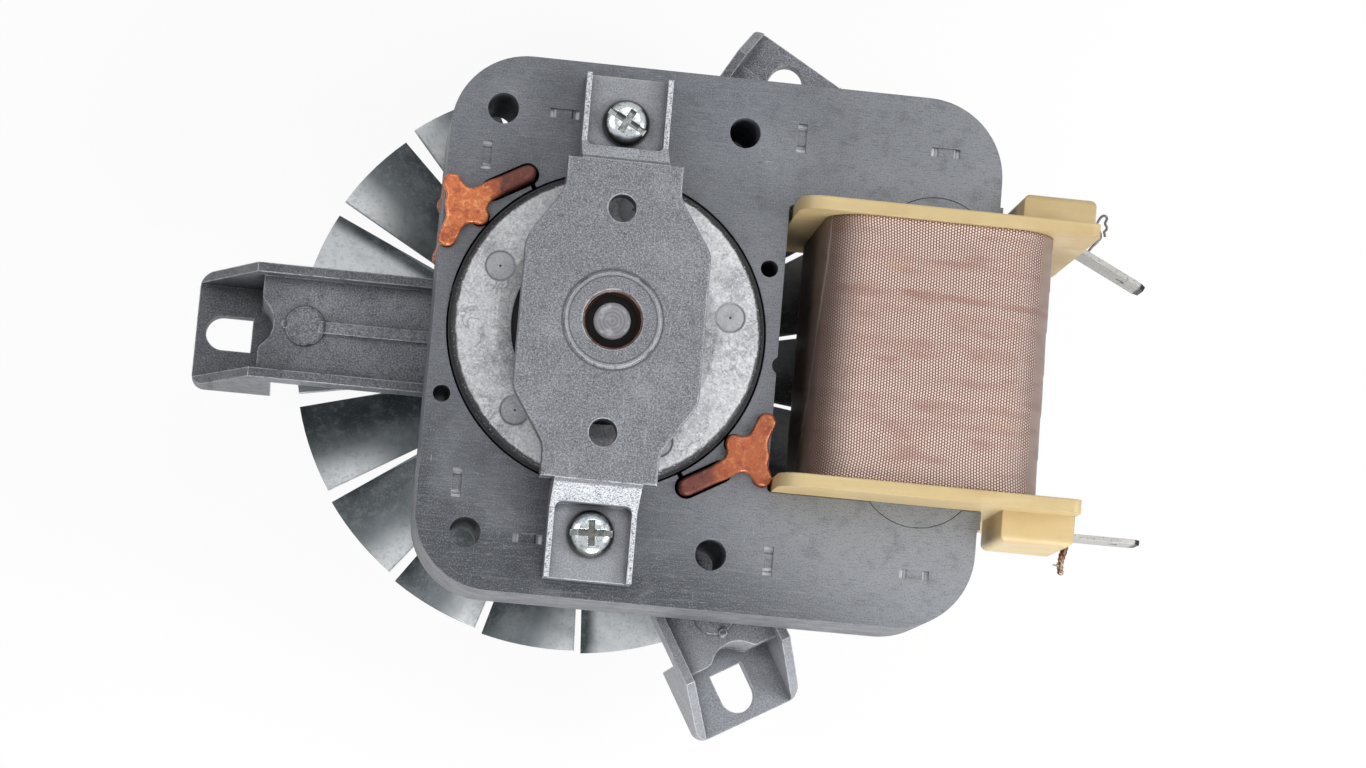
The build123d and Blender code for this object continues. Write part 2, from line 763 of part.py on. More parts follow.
def end_ring():
    # the ring on the rear face, its section turned about the shaft
    outer = rotor_radius - cage_clear_gap
    section = Polygon((cage_ring_inner_radius, 0), (outer, 0), (outer, cage_ring_height),
                      (cage_ring_land_radius, cage_ring_height),
                      (cage_ring_inner_radius, cage_ring_slope_height), align=None)
    body = revolve(Plane.XZ * section, Axis.Z)
    top_rims = body.edges().filter_by(GeomType.CIRCLE).group_by(Axis.Z)[-1]
    body = fillet(top_rims.sort_by(SortBy.RADIUS)[-1], cage_ring_fillet)
    mark = disc(ejector_mark_radius, cage_ring_height - ejector_mark_depth, cage_ring_height + past,
                ejector_mark_circle_radius, 0)
    for index in range(ejector_mark_count):
        body -= Rot(0, 0, ejector_mark_phase + 360 * index / ejector_mark_count) * mark
    return body


def rotor_cage():
    body = Pos(0, 0, stator_rear_z) * end_ring()
    body += Pos(0, 0, stator_front_z) * Rot(180, 0, 0) * end_ring()
    overlap = cage_ring_slope_height / 2
    for x, y in bar_places():
        body += disc(bar_radius, stator_front_z - overlap, stator_rear_z + overlap, x, y)
    return body


def fan_blade():
    # one blade along +X, flat at its root and twisted evenly out past the rim
    share = radians(180 / fan_blades)
    sections = []
    for reach, turn in ((blade_root_radius, 0.0), (fan_radius + blade_trim, blade_twist)):
        chord = 2 * reach * sin(share) - blade_slit
        middle = (reach, 0, (fan_low_z + fan_high_z) / 2)
        place = Plane(origin=middle, x_dir=(0, 1, 0), z_dir=(1, 0, 0))
        sections.append(place * Rot(0, 0, turn) * Rectangle(chord, fan_sheet))
    return loft(sections, ruled=True)


def cooling_fan():
    # a flat plate with one straight side for each blade's root
    pitch = 360 / fan_blades
    first = fan_gap_angle + pitch / 2
    corner_radius = blade_root_radius / cos(radians(pitch / 2))
    plate = Rot(0, 0, first + pitch / 2) * RegularPolygon(corner_radius, fan_blades)
    one_blade = fan_blade()
    body = prism(plate - Circle(fan_hub_radius), fan_low_z, fan_high_z)
    body = body.fuse(*[Rot(0, 0, first + pitch * index) * one_blade for index in range(fan_blades)])
    return body & disc(fan_radius, -shaft_drive_length, arm_height)


def fan_hub():
    body = ring(fan_hub_radius, shaft_radius, fan_low_z - fan_hub_below, front_boss_z - fan_hub_gap)
    return body + ring(fan_hub_flange_radius, shaft_radius, fan_low_z - fan_hub_flange, fan_low_z)


def rear_thrust_washer():
    return ring(washer_radius, shaft_radius, stator_rear_z, rear_bush_z - bush_length / 2 - end_play)


front_washer_z = front_bush_z + bush_length / 2 + end_play


def front_thrust_washer():
    return ring(washer_radius, shaft_radius, front_washer_z, front_washer_z + front_washer_height)


def front_spacer():
    return ring(shaft_radius + spacer_wall, shaft_radius, front_washer_z + front_washer_height,
                stator_front_z)


pieces = {
    "stator_core": stator_core(),
    "coil_core": coil_core(),
    "bobbin": bobbin(),
    "coil_winding": coil_winding(),
    "coil_tape": coil_tape(),
    "terminal_upper": terminal_upper(),
    "terminal_lower": terminal_lower(),
    "winding_tail_upper": tail_upper(),
    "winding_tail_lower": tail_lower(),
    "shading_ring_left": shading_ring(),
    "shading_ring_right": half_turn(shading_ring()),
    "rear_bridge": rear_bridge(),
    "front_bracket": front_bracket(),
    "bridge_screws": bridge_screws(),
    "rear_bearing": bush(rear_bush_z),
    "front_bearing": bush(front_bush_z),
    "rear_felt": felt(rear_bush_z, -1),
    "front_felt": felt(front_bush_z, 1),
    "rear_bearing_clip": clip(rear_bush_z, -1),
    "front_bearing_clip": clip(front_bush_z, 1),
    "shaft": shaft(),
    "rotor_core": rotor_core(),
    "rotor_cage": rotor_cage(),
    "cooling_fan": cooling_fan(),
    "fan_hub": fan_hub(),
    "rear_thrust_washer": rear_thrust_washer(),
    "front_thrust_washer": front_thrust_washer(),
    "front_spacer": front_spacer(),
}

os.makedirs("parts", exist_ok=True)
for name, piece in pieces.items():
    export_step(piece, f"parts/{name}.step")
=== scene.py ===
import math

import bpy
from mathutils import Matrix, Vector, noise


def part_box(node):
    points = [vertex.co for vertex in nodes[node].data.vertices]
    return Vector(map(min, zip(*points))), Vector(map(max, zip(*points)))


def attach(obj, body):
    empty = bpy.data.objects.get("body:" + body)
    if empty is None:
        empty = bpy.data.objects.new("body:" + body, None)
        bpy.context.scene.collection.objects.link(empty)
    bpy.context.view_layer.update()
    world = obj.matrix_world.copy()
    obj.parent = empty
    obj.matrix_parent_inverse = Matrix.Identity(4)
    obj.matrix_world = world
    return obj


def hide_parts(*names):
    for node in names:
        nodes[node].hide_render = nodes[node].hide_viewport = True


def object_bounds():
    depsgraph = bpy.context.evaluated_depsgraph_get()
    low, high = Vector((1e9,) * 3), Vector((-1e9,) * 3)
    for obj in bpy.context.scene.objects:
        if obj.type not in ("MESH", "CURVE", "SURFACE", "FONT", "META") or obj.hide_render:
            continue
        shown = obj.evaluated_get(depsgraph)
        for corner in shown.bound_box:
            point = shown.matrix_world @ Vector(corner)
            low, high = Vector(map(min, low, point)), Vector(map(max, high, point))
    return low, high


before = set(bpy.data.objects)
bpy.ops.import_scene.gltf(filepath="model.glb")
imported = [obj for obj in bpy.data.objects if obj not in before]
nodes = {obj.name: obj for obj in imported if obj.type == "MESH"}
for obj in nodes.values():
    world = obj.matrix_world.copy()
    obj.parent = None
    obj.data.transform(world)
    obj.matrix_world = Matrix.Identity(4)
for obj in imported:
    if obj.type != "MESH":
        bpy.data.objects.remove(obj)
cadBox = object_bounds()
mm = 0.001
print("frame loaded:", len(nodes), "nodes")


# Shader maths

def tint(red, green, blue):
    # a colour as seen on screen, 0 to 255, turned into light
    def light(byte):
        share = byte / 255
        return share / 12.92 if share <= 0.04045 else ((share + 0.055) / 1.055) ** 2.4
    return (light(red), light(green), light(blue), 1.0)


class Value:
    # a shader socket that can be used in sums
    def __init__(self, graph, socket):
        self.graph = graph
        self.socket = socket

    def __add__(self, other):
        return self.graph.math("ADD", self, other)

    def __sub__(self, other):
        return self.graph.math("SUBTRACT", self, other)

    def __rsub__(self, other):
        return self.graph.math("SUBTRACT", other, self)

    def __mul__(self, other):
        return self.graph.math("MULTIPLY", self, other)

    def __truediv__(self, other):
        return self.graph.math("DIVIDE", self, other)

    def __rtruediv__(self, other):
        return self.graph.math("DIVIDE", other, self)

    __radd__ = __add__
    __rmul__ = __mul__


class Graph:
    # the nodes of one material, or of the world, with places in metres as the CAD gives them
    def __init__(self, name, rounding=None, world=None):
        self.owner = world or bpy.data.materials.new(name)
        self.owner.use_nodes = True
        self.tree = self.owner.node_tree
        self.tree.nodes.clear()
        self.place = self.node("ShaderNodeTexCoord", output="Object")
        self.x, self.y, self.z = self.split(self.place)
        if rounding:
            # the surface's normal with its edges rounded off by that radius
            self.rounded = self.node("ShaderNodeBevel", {"samples": 3}, {"Radius": rounding})

    def node(self, kind, settings=None, inputs=None, output=0):
        made = self.tree.nodes.new(kind)
        for name, setting in (settings or {}).items():
            setattr(made, name, setting)
        for name, value in (inputs or {}).items():
            socket = made.inputs[name]
            if isinstance(value, Value):
                self.tree.links.new(value.socket, socket)
            else:
                socket.default_value = value
        return Value(self, made.outputs[output]) if made.outputs else made

    def math(self, operation, *values):
        return self.node("ShaderNodeMath", {"operation": operation}, dict(enumerate(values)))

    def split(self, vector):
        parts = self.node("ShaderNodeSeparateXYZ", inputs={0: vector})
        outputs = parts.socket.node.outputs
        return [Value(self, outputs[index]) for index in range(3)]

    def between(self, value, start, end, low=0.0, high=1.0):
        # a smooth step from low at start to high at end
        return self.node("ShaderNodeMapRange", {"interpolation_type": "SMOOTHSTEP"},
                         {"Value": value, "From Min": start, "From Max": end,
                          "To Min": low, "To Max": high})

    def line(self, value, middle, width):
        # 1 on the middle, 0 from that width away on both sides
        return self.between(self.math("ABSOLUTE", value - middle), width, width * 0.3)

    def blend(self, first, second, share):
        return self.node("ShaderNodeMix", {"data_type": "RGBA"}, {0: share, 6: first, 7: second}, 2)

    def scaled(self, size, place=None):
        # the place divided by a size, one for all axes or one for each
        stretch = (size,) * 3 if isinstance(size, float) else size
        return self.node("ShaderNodeVectorMath", {"operation": "DIVIDE"},
                         {0: place or self.place, 1: stretch})

    def clouds(self, size, detail=2.0, place=None, roughness=0.5, distortion=0.0):
        # noise from 0 to 1 with features of about that size
        return self.node("ShaderNodeTexNoise", None,
                         {"Vector": self.scaled(size, place), "Scale": 1.0, "Detail": detail,
                          "Roughness": roughness, "Distortion": distortion})

    def cells(self, size):
        # distance from the nearest of many scattered points, about that size apart
        return self.node("ShaderNodeTexVoronoi", None,
                         {"Vector": self.scaled(size), "Scale": 1.0}, "Distance")

    def distance(self, across, up):
        # how far a step across and up reaches
        return self.math("SQRT", across * across + up * up)

    def radius(self):
        # distance from the shaft's axis
        return self.distance(self.x, self.y)

    def fromMark(self, circle, count, phase):
        # distance from the nearest of some marks spread evenly on a circle round the shaft
        pitch = math.tau / count
        turn = (self.math("ARCTAN2", self.y, self.x) - math.radians(phase)) / pitch
        away = (turn - self.math("ROUND", turn)) * pitch
        reach = self.radius()
        out = reach * self.math("COSINE", away) - circle
        return self.distance(out, reach * self.math("SINE", away))

    def hollow(self, reach):
        # painted shade: 1 deep in corners and recesses, 0 on open faces
        light = self.node("ShaderNodeAmbientOcclusion", {"samples": 4}, {"Distance": reach}, "AO")
        return self.between(light, 0.88, 0.35)

    def facing(self):
        # how much the surface faces up or down the shaft's axis, from 0 to 1
        outward = self.node("ShaderNodeTexCoord", output="Normal")
        return self.math("ABSOLUTE", self.split(outward)[2])

    def edges(self, start=0.03, end=0.3):
        # 1 along sharp edges, 0 on flat faces
        flat = self.node("ShaderNodeNewGeometry", output="Normal")
        along = self.node("ShaderNodeVectorMath", {"operation": "DOT_PRODUCT"},
                          {0: self.rounded, 1: flat}, "Value")
        return self.between(1.0 - along, start, end)

    def shades(self, base, *layers):
        # colours as seen on screen, each laid over the last by its share
        colour = base if isinstance(base, Value) else tint(*base)
        for over, share in layers:
            colour = self.blend(colour, tint(*over), share)
        return colour

    def finish(self, colour, roughness, metallic, height, depth, **fixed):
        # height runs from 0 to 1 over that depth in metres
        normal = self.node("ShaderNodeBump", None,
                           {"Strength": 1.0, "Distance": depth, "Height": height,
                            "Normal": self.rounded})
        inputs = {"Base Color": colour, "Roughness": roughness, "Metallic": metallic,
                  "Normal": normal}
        inputs.update({name.replace("_", " "): value for name, value in fixed.items()})
        self.show(self.node("ShaderNodeBsdfPrincipled", None, inputs))
        return self.owner

    def show(self, shader, output="ShaderNodeOutputMaterial"):
        self.node(output, None, {"Surface": shader})

    def seen(self):
        # 1 where the camera looks straight at it, or sees it in metal or through glass
        camera = self.node("ShaderNodeLightPath", output="Is Camera Ray")
        outputs = camera.socket.node.outputs
        rays = camera + Value(self, outputs["Is Glossy Ray"])
        rays = rays + Value(self, outputs["Is Transmission Ray"])
        return self.math("MINIMUM", rays, 1.0)


def dress(material, *names):
    # the material goes on every face of the named CAD nodes
    for name in names:
        slots = nodes[name].data.materials
        for index in range(max(1, len(slots))):
            if index < len(slots):
                slots[index] = material
            else:
                slots.append(material)


# Laminated steel: rolled faces above and below, the edges of the sheets at the sides
steelLook = {
    "sheet": (103, 106, 112), "light": (132, 135, 141), "dark": (80, 83, 89),
    "scratch": (186, 188, 193), "edge": (184, 187, 193), "side": (100, 102, 108),
    "gap": (62, 63, 68), "rust": (112, 92, 80), "sheetThickness": 0.5 * mm, "metal": 0.3,
    # sizes of the marks: along and across the rolling where there are two
    "haze": 13 * mm, "patch": 3.2 * mm, "grain": 0.24 * mm, "rolled": (9 * mm, 0.5 * mm, 1.0),
    "streak": (1.7 * mm, 0.2 * mm, 1.0), "scratches": (3.6 * mm, 0.13 * mm, 1.0),
    "nicks": (0.2 * mm, 2.4 * mm, 1.0), "rustSpot": 2.2 * mm, "wear": 1.2 * mm,
    # painted light brightens the coil's end, and painted shade darkens the lower left corner
    "bright": (136, 139, 144), "paintedLightFrom": 8 * mm, "paintedLightTo": 64 * mm,
    "shadow": (53, 56, 61), "dimFrom": -16 * mm, "dimTo": -38 * mm,
    # the interlocks' ends are paler, from this far to that far below the rear face
    "top": 48 * mm, "pressed": (222, 224, 228), "pressedFrom": 0.5 * mm, "pressedTo": 3.2 * mm,
    # everything within the stator's bore is the rotor's core, painted near-black as air-gap shade
    "sootAndShade": (26, 26, 30), "bore": 26 * mm, "round": 0.16 * mm, "depth": 0.03 * mm,
}


def laminatedSteel():
    look = steelLook
    g = Graph("laminated_steel", look["round"])
    flat = g.between(g.facing(), 0.6, 0.8)
    haze = g.clouds(look["haze"], 3.0)
    patch = g.clouds(look["patch"], 4.0, roughness=0.6)
    grain = g.clouds(look["grain"], 3.0, roughness=0.7)
    rolled = g.clouds(look["rolled"], 3.0)
    scratch = g.clouds(look["scratches"], 1.0, distortion=0.6)
    nick = g.clouds(look["nicks"], 1.0, distortion=0.8)
    streak = g.clouds(look["streak"], 2.0, roughness=0.6)
    # painted light towards the coil's end, and painted shade in the lower left corner
    paintedSideLight = g.between(g.x - g.y * 0.25 + haze * 16 * mm, look["paintedLightFrom"], look["paintedLightTo"])
    paintedCornerShade = g.between(g.y + g.x * 0.4, look["dimFrom"], look["dimTo"])
    depth = look["top"] - g.z
    pressed = g.between(depth, look["pressedFrom"] - 0.1 * mm, look["pressedFrom"] + 0.1 * mm)
    pressed = pressed * g.between(depth, look["pressedTo"] + 0.2 * mm, look["pressedTo"] - 0.2 * mm)
    face = g.shades(
        look["sheet"], (look["bright"], paintedSideLight), (look["shadow"], paintedCornerShade * 0.95),
        (look["light"], g.between(haze, 0.5, 0.72) * 0.5),
        (look["dark"], g.between(patch, 0.48, 0.72) * 0.45),
        (look["light"], g.between(grain, 0.51, 0.64) * 0.75),
        (look["dark"], g.between(grain, 0.49, 0.36) * 0.75),
        (look["light"], g.between(rolled, 0.5, 0.74) * 0.3),
        (look["dark"], g.between(streak, 0.54, 0.7) * 0.5),
        (look["light"], g.between(streak, 0.44, 0.3) * 0.45),
        (look["scratch"], g.between(scratch, 0.74, 0.8) * 0.55),
        (look["scratch"], g.between(nick, 0.76, 0.82) * 0.5), (look["pressed"], pressed * 0.8))
    # each sheet's cut edge has its own tone, with a dark line between two sheets
    layer = g.z / look["sheetThickness"]
    gap = g.between(g.math("ABSOLUTE", g.math("FRACT", layer) - 0.5), 0.34, 0.48)
    tone = g.node("ShaderNodeTexWhiteNoise", {"noise_dimensions": "1D"},
                  {"W": g.math("FLOOR", layer)}, "Value")
    side = g.shades(
        look["side"], (look["light"], tone * 0.6), (look["dark"], g.between(patch, 0.45, 0.7) * 0.6),
        (look["rust"], g.between(g.clouds(look["rustSpot"], 4.0), 0.58, 0.72) * 0.4),
        (look["gap"], gap * 0.8))
    colour = g.blend(side, face, flat)
    # a painted highlight along sharp edges, patchy like wear
    edgeLine = g.edges(0.05, 0.35) * g.between(g.clouds(look["wear"]), 0.3, 0.55)
    # the rotor's core gets near-black painted shade for the air gap
    inBore = g.between(g.radius(), look["bore"] + 0.1 * mm, look["bore"])
    colour = g.shades(colour, (look["edge"], edgeLine * 0.75), (look["sootAndShade"], inBore * 0.9))
    rough = g.between(patch, 0.3, 0.7, 0.42, 0.54)
    height = (1.0 - gap) * (1.0 - flat) + (grain * 0.3 + rolled * 0.2) * flat
    return g.finish(colour, rough, look["metal"], height, look["depth"])


# Die-cast bridge and bracket: a fine salt-and-pepper skin, painted highlights on edges, painted shade in
# corners
castLooks = {
    "cast_bridge": {"skin": (114, 116, 121), "dark": (60, 62, 67), "bright": (176, 179, 185),
                    "edge": (226, 229, 235), "grain": 0.26 * mm, "hollow": 1.6 * mm},
    "cast_bracket": {"skin": (114, 116, 122), "dark": (40, 42, 47), "bright": (178, 181, 187),
                     "edge": (232, 235, 241), "grain": 0.27 * mm, "hollow": 3.6 * mm},
}
# what both castings share
castSkin = {"mottle": 1.7 * mm, "drift": 8 * mm, "flow": (0.5 * mm, 3.2 * mm, 0.5 * mm),
            "wear": 1.4 * mm, "round": 0.3 * mm, "metal": 0.3, "depth": 0.035 * mm}


def castMetal(name, marks):
    look = castLooks[name]
    g = Graph(name, castSkin["round"])
    grain = g.clouds(look["grain"], 3.0, roughness=0.75)
    specks = g.cells(look["grain"] * 3.4)
    mottle = g.clouds(castSkin["mottle"], 4.0, roughness=0.65)
    drift = g.clouds(castSkin["drift"], 2.0)
    flow = g.clouds(castSkin["flow"], 2.0, distortion=0.8)
    # edges that stand out get a patchy painted highlight, corners and recesses get painted shade from
    # occlusion
    hollow = g.hollow(look["hollow"])
    edgeLine = g.edges(0.0, 0.1) * g.between(g.clouds(castSkin["wear"], 3.0), 0.3, 0.5) * (1.0 - hollow)
    colour = g.shades(
        look["skin"], (look["bright"], g.between(drift, 0.45, 0.75) * 0.22),
        (look["dark"], g.between(mottle, 0.52, 0.72) * 0.4),
        (look["bright"], g.between(grain, 0.51, 0.62) * 0.6),
        (look["dark"], g.between(grain, 0.48, 0.36) * 0.62),
        (look["dark"], g.between(specks, 0.22, 0.1) * 0.6),
        (look["bright"], g.between(flow, 0.6, 0.75) * 0.3),
        *marks(g, look, grain), (look["dark"], hollow * 0.8), (look["edge"], edgeLine))
    rough = g.between(mottle, 0.3, 0.7, 0.44, 0.58)
    height = grain * 0.7 + g.between(specks, 0.1, 0.3) * 0.5
    return g.finish(colour, rough, castSkin["metal"], height, castSkin["depth"])


# The bridge alone: turned rings round its boss as painted shade and a painted highlight, and painted
# light on its lugs
bridgeLook = {
    # radii of the rings on the boss and of the rust in its bore
    "bossLine": 8.1 * mm, "innerLine": 7.1 * mm, "lineWidth": 0.2 * mm, "highlightRing": 7.45 * mm,
    "rustRadius": 5.15 * mm, "rust": (92, 58, 42),
    "holePlace": 18.25 * mm, "holeRadius": 2.3 * mm, "holeDark": (1.0 * mm, 2.6 * mm),
    # measured down from the top: the plate's sides get painted shade, and the lugs' slopes painted light
    "shadedSideDepth": (2.4 * mm, 1.8 * mm), "lugDepth": (0.9 * mm, 1.5 * mm),
    # measured up from the foot: where the slopes end, and the pads under the screws
    "lugHeight": (4.0 * mm, 4.6 * mm), "padHeight": (4.2 * mm, 3.8 * mm),
}


def bridgeMarks(g, look, grain):
    marks = bridgeLook
    low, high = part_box("rear_bridge")
    reach, facing = g.radius(), g.facing()
    down, up = high.z - g.z, g.z - low.z
    # the boss's rings: two lines of painted shade and one ring of painted highlight
    outerShadeLine = g.line(reach, marks["bossLine"], 0.35 * mm)
    innerShadeLine = g.line(reach, marks["innerLine"], marks["lineWidth"])
    highlightRing = g.line(reach, marks["highlightRing"], 0.3 * mm)
    bore = g.between(reach + g.clouds(0.7 * mm, 3.0) * 0.5 * mm, marks["rustRadius"] + 0.15 * mm,
                     marks["rustRadius"] - 0.15 * mm)
    # each hole gets painted shade a little way down
    fromHole = g.distance(g.x, g.math("ABSOLUTE", g.y) - marks["holePlace"])
    holeShade = g.between(fromHole, marks["holeRadius"] + 0.25 * mm, marks["holeRadius"] + 0.05 * mm)
    holeShade = holeShade * g.between(down, *marks["holeDark"])
    # painted light on the lugs' slopes and the pads, painted shade on the plate's side walls
    litLug = g.between(down, *marks["lugDepth"]) * g.between(up, *marks["lugHeight"])
    litLug = litLug * g.between(facing, 0.3, 0.5)
    litPad = g.between(up, *marks["padHeight"]) * g.between(facing, 0.7, 0.9)
    side = g.between(facing, 0.5, 0.2) * g.between(down, *marks["shadedSideDepth"])
    return ((look["dark"], outerShadeLine * 0.7), (look["dark"], innerShadeLine * 0.6), (look["edge"], highlightRing * 0.12),
            (marks["rust"], bore * 0.85), (look["dark"], holeShade), (look["dark"], side * 0.85),
            (look["bright"], litPad * 0.35), (look["edge"], litLug * g.between(grain, 0.38, 0.55) * 0.8))


# The bracket alone: the outline of the pad on each arm, painted shade on rims and left foot, painted
# light below
bracketLook = {
    "padCircle": 48.8 * mm, "padRadius": 3.3 * mm, "phase": 60.0, "rubbedAndHighlit": (2.6 * mm, 0.16 * mm, 1.0),
    # heights of the arms' floor and rims
    "floor": (19.4 * mm, 19.8 * mm), "rims": (22.3 * mm, 22.8 * mm),
    # painted shade darkens the left foot most of the three, and painted light makes the lowest one the
    # palest
    "darkened": (-46 * mm, -57 * mm), "pale": (-40 * mm, -50 * mm),
}


def bracketMarks(g, look, grain):
    marks = bracketLook
    ring = g.line(g.fromMark(marks["padCircle"], 3, marks["phase"]), marks["padRadius"], 0.4 * mm)
    rubbedAndHighlit = g.clouds(marks["rubbedAndHighlit"], 2.0, distortion=1.2)
    return ((look["dark"], ring * g.between(g.z, *marks["floor"]) * 0.75),
            (look["dark"], g.between(rubbedAndHighlit, 0.62, 0.72) * 0.5),
            # painted shade on the rims and the left foot, painted light on the lowest foot
            (look["dark"], g.between(g.z, *marks["rims"]) * 0.3),
            (look["dark"], g.between(g.x, *marks["darkened"]) * 0.35),
            (look["bright"], g.between(g.y, *marks["pale"]) * 0.32))


# Rotor cage: cast bright and speckled, with painted shade round its rim, and marks where it was pushed
# out
cageLook = {
    "skin": (198, 199, 202), "grey": (144, 146, 151), "light": (236, 237, 240),
    "dark": (112, 114, 120), "rim": (26, 26, 32), "rimFrom": 24.75 * mm, "rimTo": 25.15 * mm,
    "markCircle": 20.2 * mm, "markRadius": 2.4 * mm, "markCount": 5, "markPhase": 10.8, "metal": 0.35,
    "grain": 0.34 * mm, "mottle": 1.5 * mm, "smudge": 5 * mm, "wipe": 7 * mm, "drift": 9 * mm,
    "round": 0.2 * mm, "depth": 0.02 * mm,
}


def castCage():
    look = cageLook
    g = Graph("cast_cage", look["round"])
    grain = g.clouds(look["grain"], 3.0, roughness=0.75)
    mottle = g.clouds(look["mottle"], 4.0, roughness=0.65)
    smudge = g.clouds(look["smudge"], 3.0, distortion=1.4)
    drift = g.clouds(look["drift"], 2.0)
    fromMark = g.fromMark(look["markCircle"], look["markCount"], look["markPhase"])
    inMark = g.between(fromMark, look["markRadius"] + 0.1 * mm, look["markRadius"] - 0.15 * mm)
    outline = g.line(fromMark, look["markRadius"], 0.3 * mm)
    centre = g.between(fromMark, 0.28 * mm, 0.1 * mm)
    # painted shade on the rim's rounded edge
    rim = g.between(g.radius() + mottle * 0.7 * mm, look["rimFrom"], look["rimTo"])
    wipe = g.line(smudge, 0.5, 0.035)
    colour = g.shades(
        look["skin"], (look["grey"], g.between(drift, 0.48, 0.66) * 0.6),
        (look["light"], g.between(mottle, 0.5, 0.7) * 0.5),
        (look["grey"], g.between(mottle, 0.48, 0.3) * 0.6),
        (look["dark"], wipe * g.between(g.clouds(look["wipe"]), 0.45, 0.6) * 0.5),
        (look["dark"], g.between(grain, 0.46, 0.34) * 0.6),
        (look["light"], g.between(grain, 0.53, 0.64) * 0.7),
        (look["grey"], inMark * 0.55), (look["dark"], outline * 0.6), (look["rim"], centre),
        (look["rim"], rim * g.between(grain, 0.7, 0.62) * 0.95))
    rough = g.between(mottle, 0.3, 0.7, 0.4, 0.52)
    return g.finish(colour, rough, look["metal"], grain, look["depth"])


# Galvanised fan: dull zinc with a soft, fine spangle and darker sheared edges
zincLook = {
    "zinc": (112, 119, 122), "light": (146, 153, 156), "dark": (80, 87, 91), "cut": (58, 62, 66),
    "scratch": (160, 166, 169), "metal": 0.45, "slate": (48, 54, 58), "bright": (238, 241, 243),
    # the blades repeat at this angle, with painted shade at their leading sides and painted
    # highlights at their trailing rims, and lean this many degrees for each millimetre in from the rim
    "pitch": 20.0, "phase": 12.8, "lean": 0.1, "rim": 49.5 * mm,
    "paintedLightFrom": 34 * mm, "paintedLightTo": 46 * mm,
    # painted light on two of the blades
    "paintedBladeLight": (232, 236, 239), "palerBlades": (7, -5),   # blades counted round from the phase
    "spangle": 1.1 * mm, "drift": 5.5 * mm, "fine": 0.3 * mm, "scratches": (0.14 * mm, 3.4 * mm, 1.0),
    "round": 0.18 * mm, "depth": 0.015 * mm,
}


def galvanised():
    look = zincLook
    g = Graph("galvanised_sheet", look["round"])
    spangle = g.clouds(look["spangle"], 3.0, roughness=0.55)
    drift = g.clouds(look["drift"], 3.0)
    fine = g.clouds(look["fine"], 2.0, roughness=0.6)
    scratch = g.clouds(look["scratches"], 1.0, distortion=1.0)
    edgeLine = g.edges(0.05, 0.3)
    reach = g.radius()
    lean = (look["rim"] - reach) * (math.radians(look["lean"]) / mm)
    angle = g.math("ARCTAN2", g.y, g.x) - math.radians(look["phase"]) - lean
    turn = angle / math.radians(look["pitch"])
    blade = g.math("FLOOR", turn)
    across = turn - blade + (drift - 0.5) * 0.06
    # painted light makes two blades paler than the others, but for a strip at one side
    first, second = [g.between(g.math("ABSOLUTE", blade - count), 0.6, 0.4)
                     for count in look["palerBlades"]]
    paintedBladeLight = (first + second) * g.between(across, 0.08, 0.24)
    # a painted highlight along each blade's trailing side near the rim, painted shade on its leading
    # side
    rubbedAndHighlit = g.between(across, 0.52, 0.92) * g.between(reach, look["paintedLightFrom"], look["paintedLightTo"])
    colour = g.shades(
        look["zinc"], (look["slate"], g.between(across, 0.65, 0.25) * 0.85),
        (look["bright"], rubbedAndHighlit * 0.95), (look["paintedBladeLight"], paintedBladeLight * 0.8),
        (look["light"], g.between(drift, 0.5, 0.72) * 0.2),
        (look["dark"], g.between(drift, 0.5, 0.3) * 0.25),
        (look["light"], g.between(spangle, 0.5, 0.68) * 0.22),
        (look["dark"], g.between(spangle, 0.48, 0.32) * 0.25),
        (look["light"], g.between(fine, 0.54, 0.72) * 0.3),
        (look["scratch"], g.between(scratch, 0.76, 0.83) * 0.35), (look["cut"], edgeLine * 0.8))
    rough = g.between(spangle, 0.3, 0.7, 0.34, 0.46)
    return g.finish(colour, rough, look["metal"], fine * 0.4 + spangle, look["depth"])


# Copper shading rings: bright star with painted highlights, the arm in the slot browned by heat
copperLook = {
    "bright": (206, 116, 70), "glow": (236, 162, 106), "tarnish": (150, 74, 46),
    "darkened": (142, 72, 52), "brown": (104, 56, 48), "rose": (142, 84, 72), "sootAndShade": (50, 32, 30),
    "metal": 0.35, "tipFrom": 3.2 * mm, "tipTo": 6.0 * mm,
    "stain": 1.5 * mm, "fine": 0.28 * mm, "lumps": 0.9 * mm, "round": 0.22 * mm, "depth": 0.03 * mm,
    # the heart of the left ring's star, and where along its arm the heat's brown starts
    "heart": (-25.0 * mm, 18.2 * mm), "brownFrom": 4.9 * mm, "brownTo": 7.2 * mm,
    "armTurn": 13.0,
}


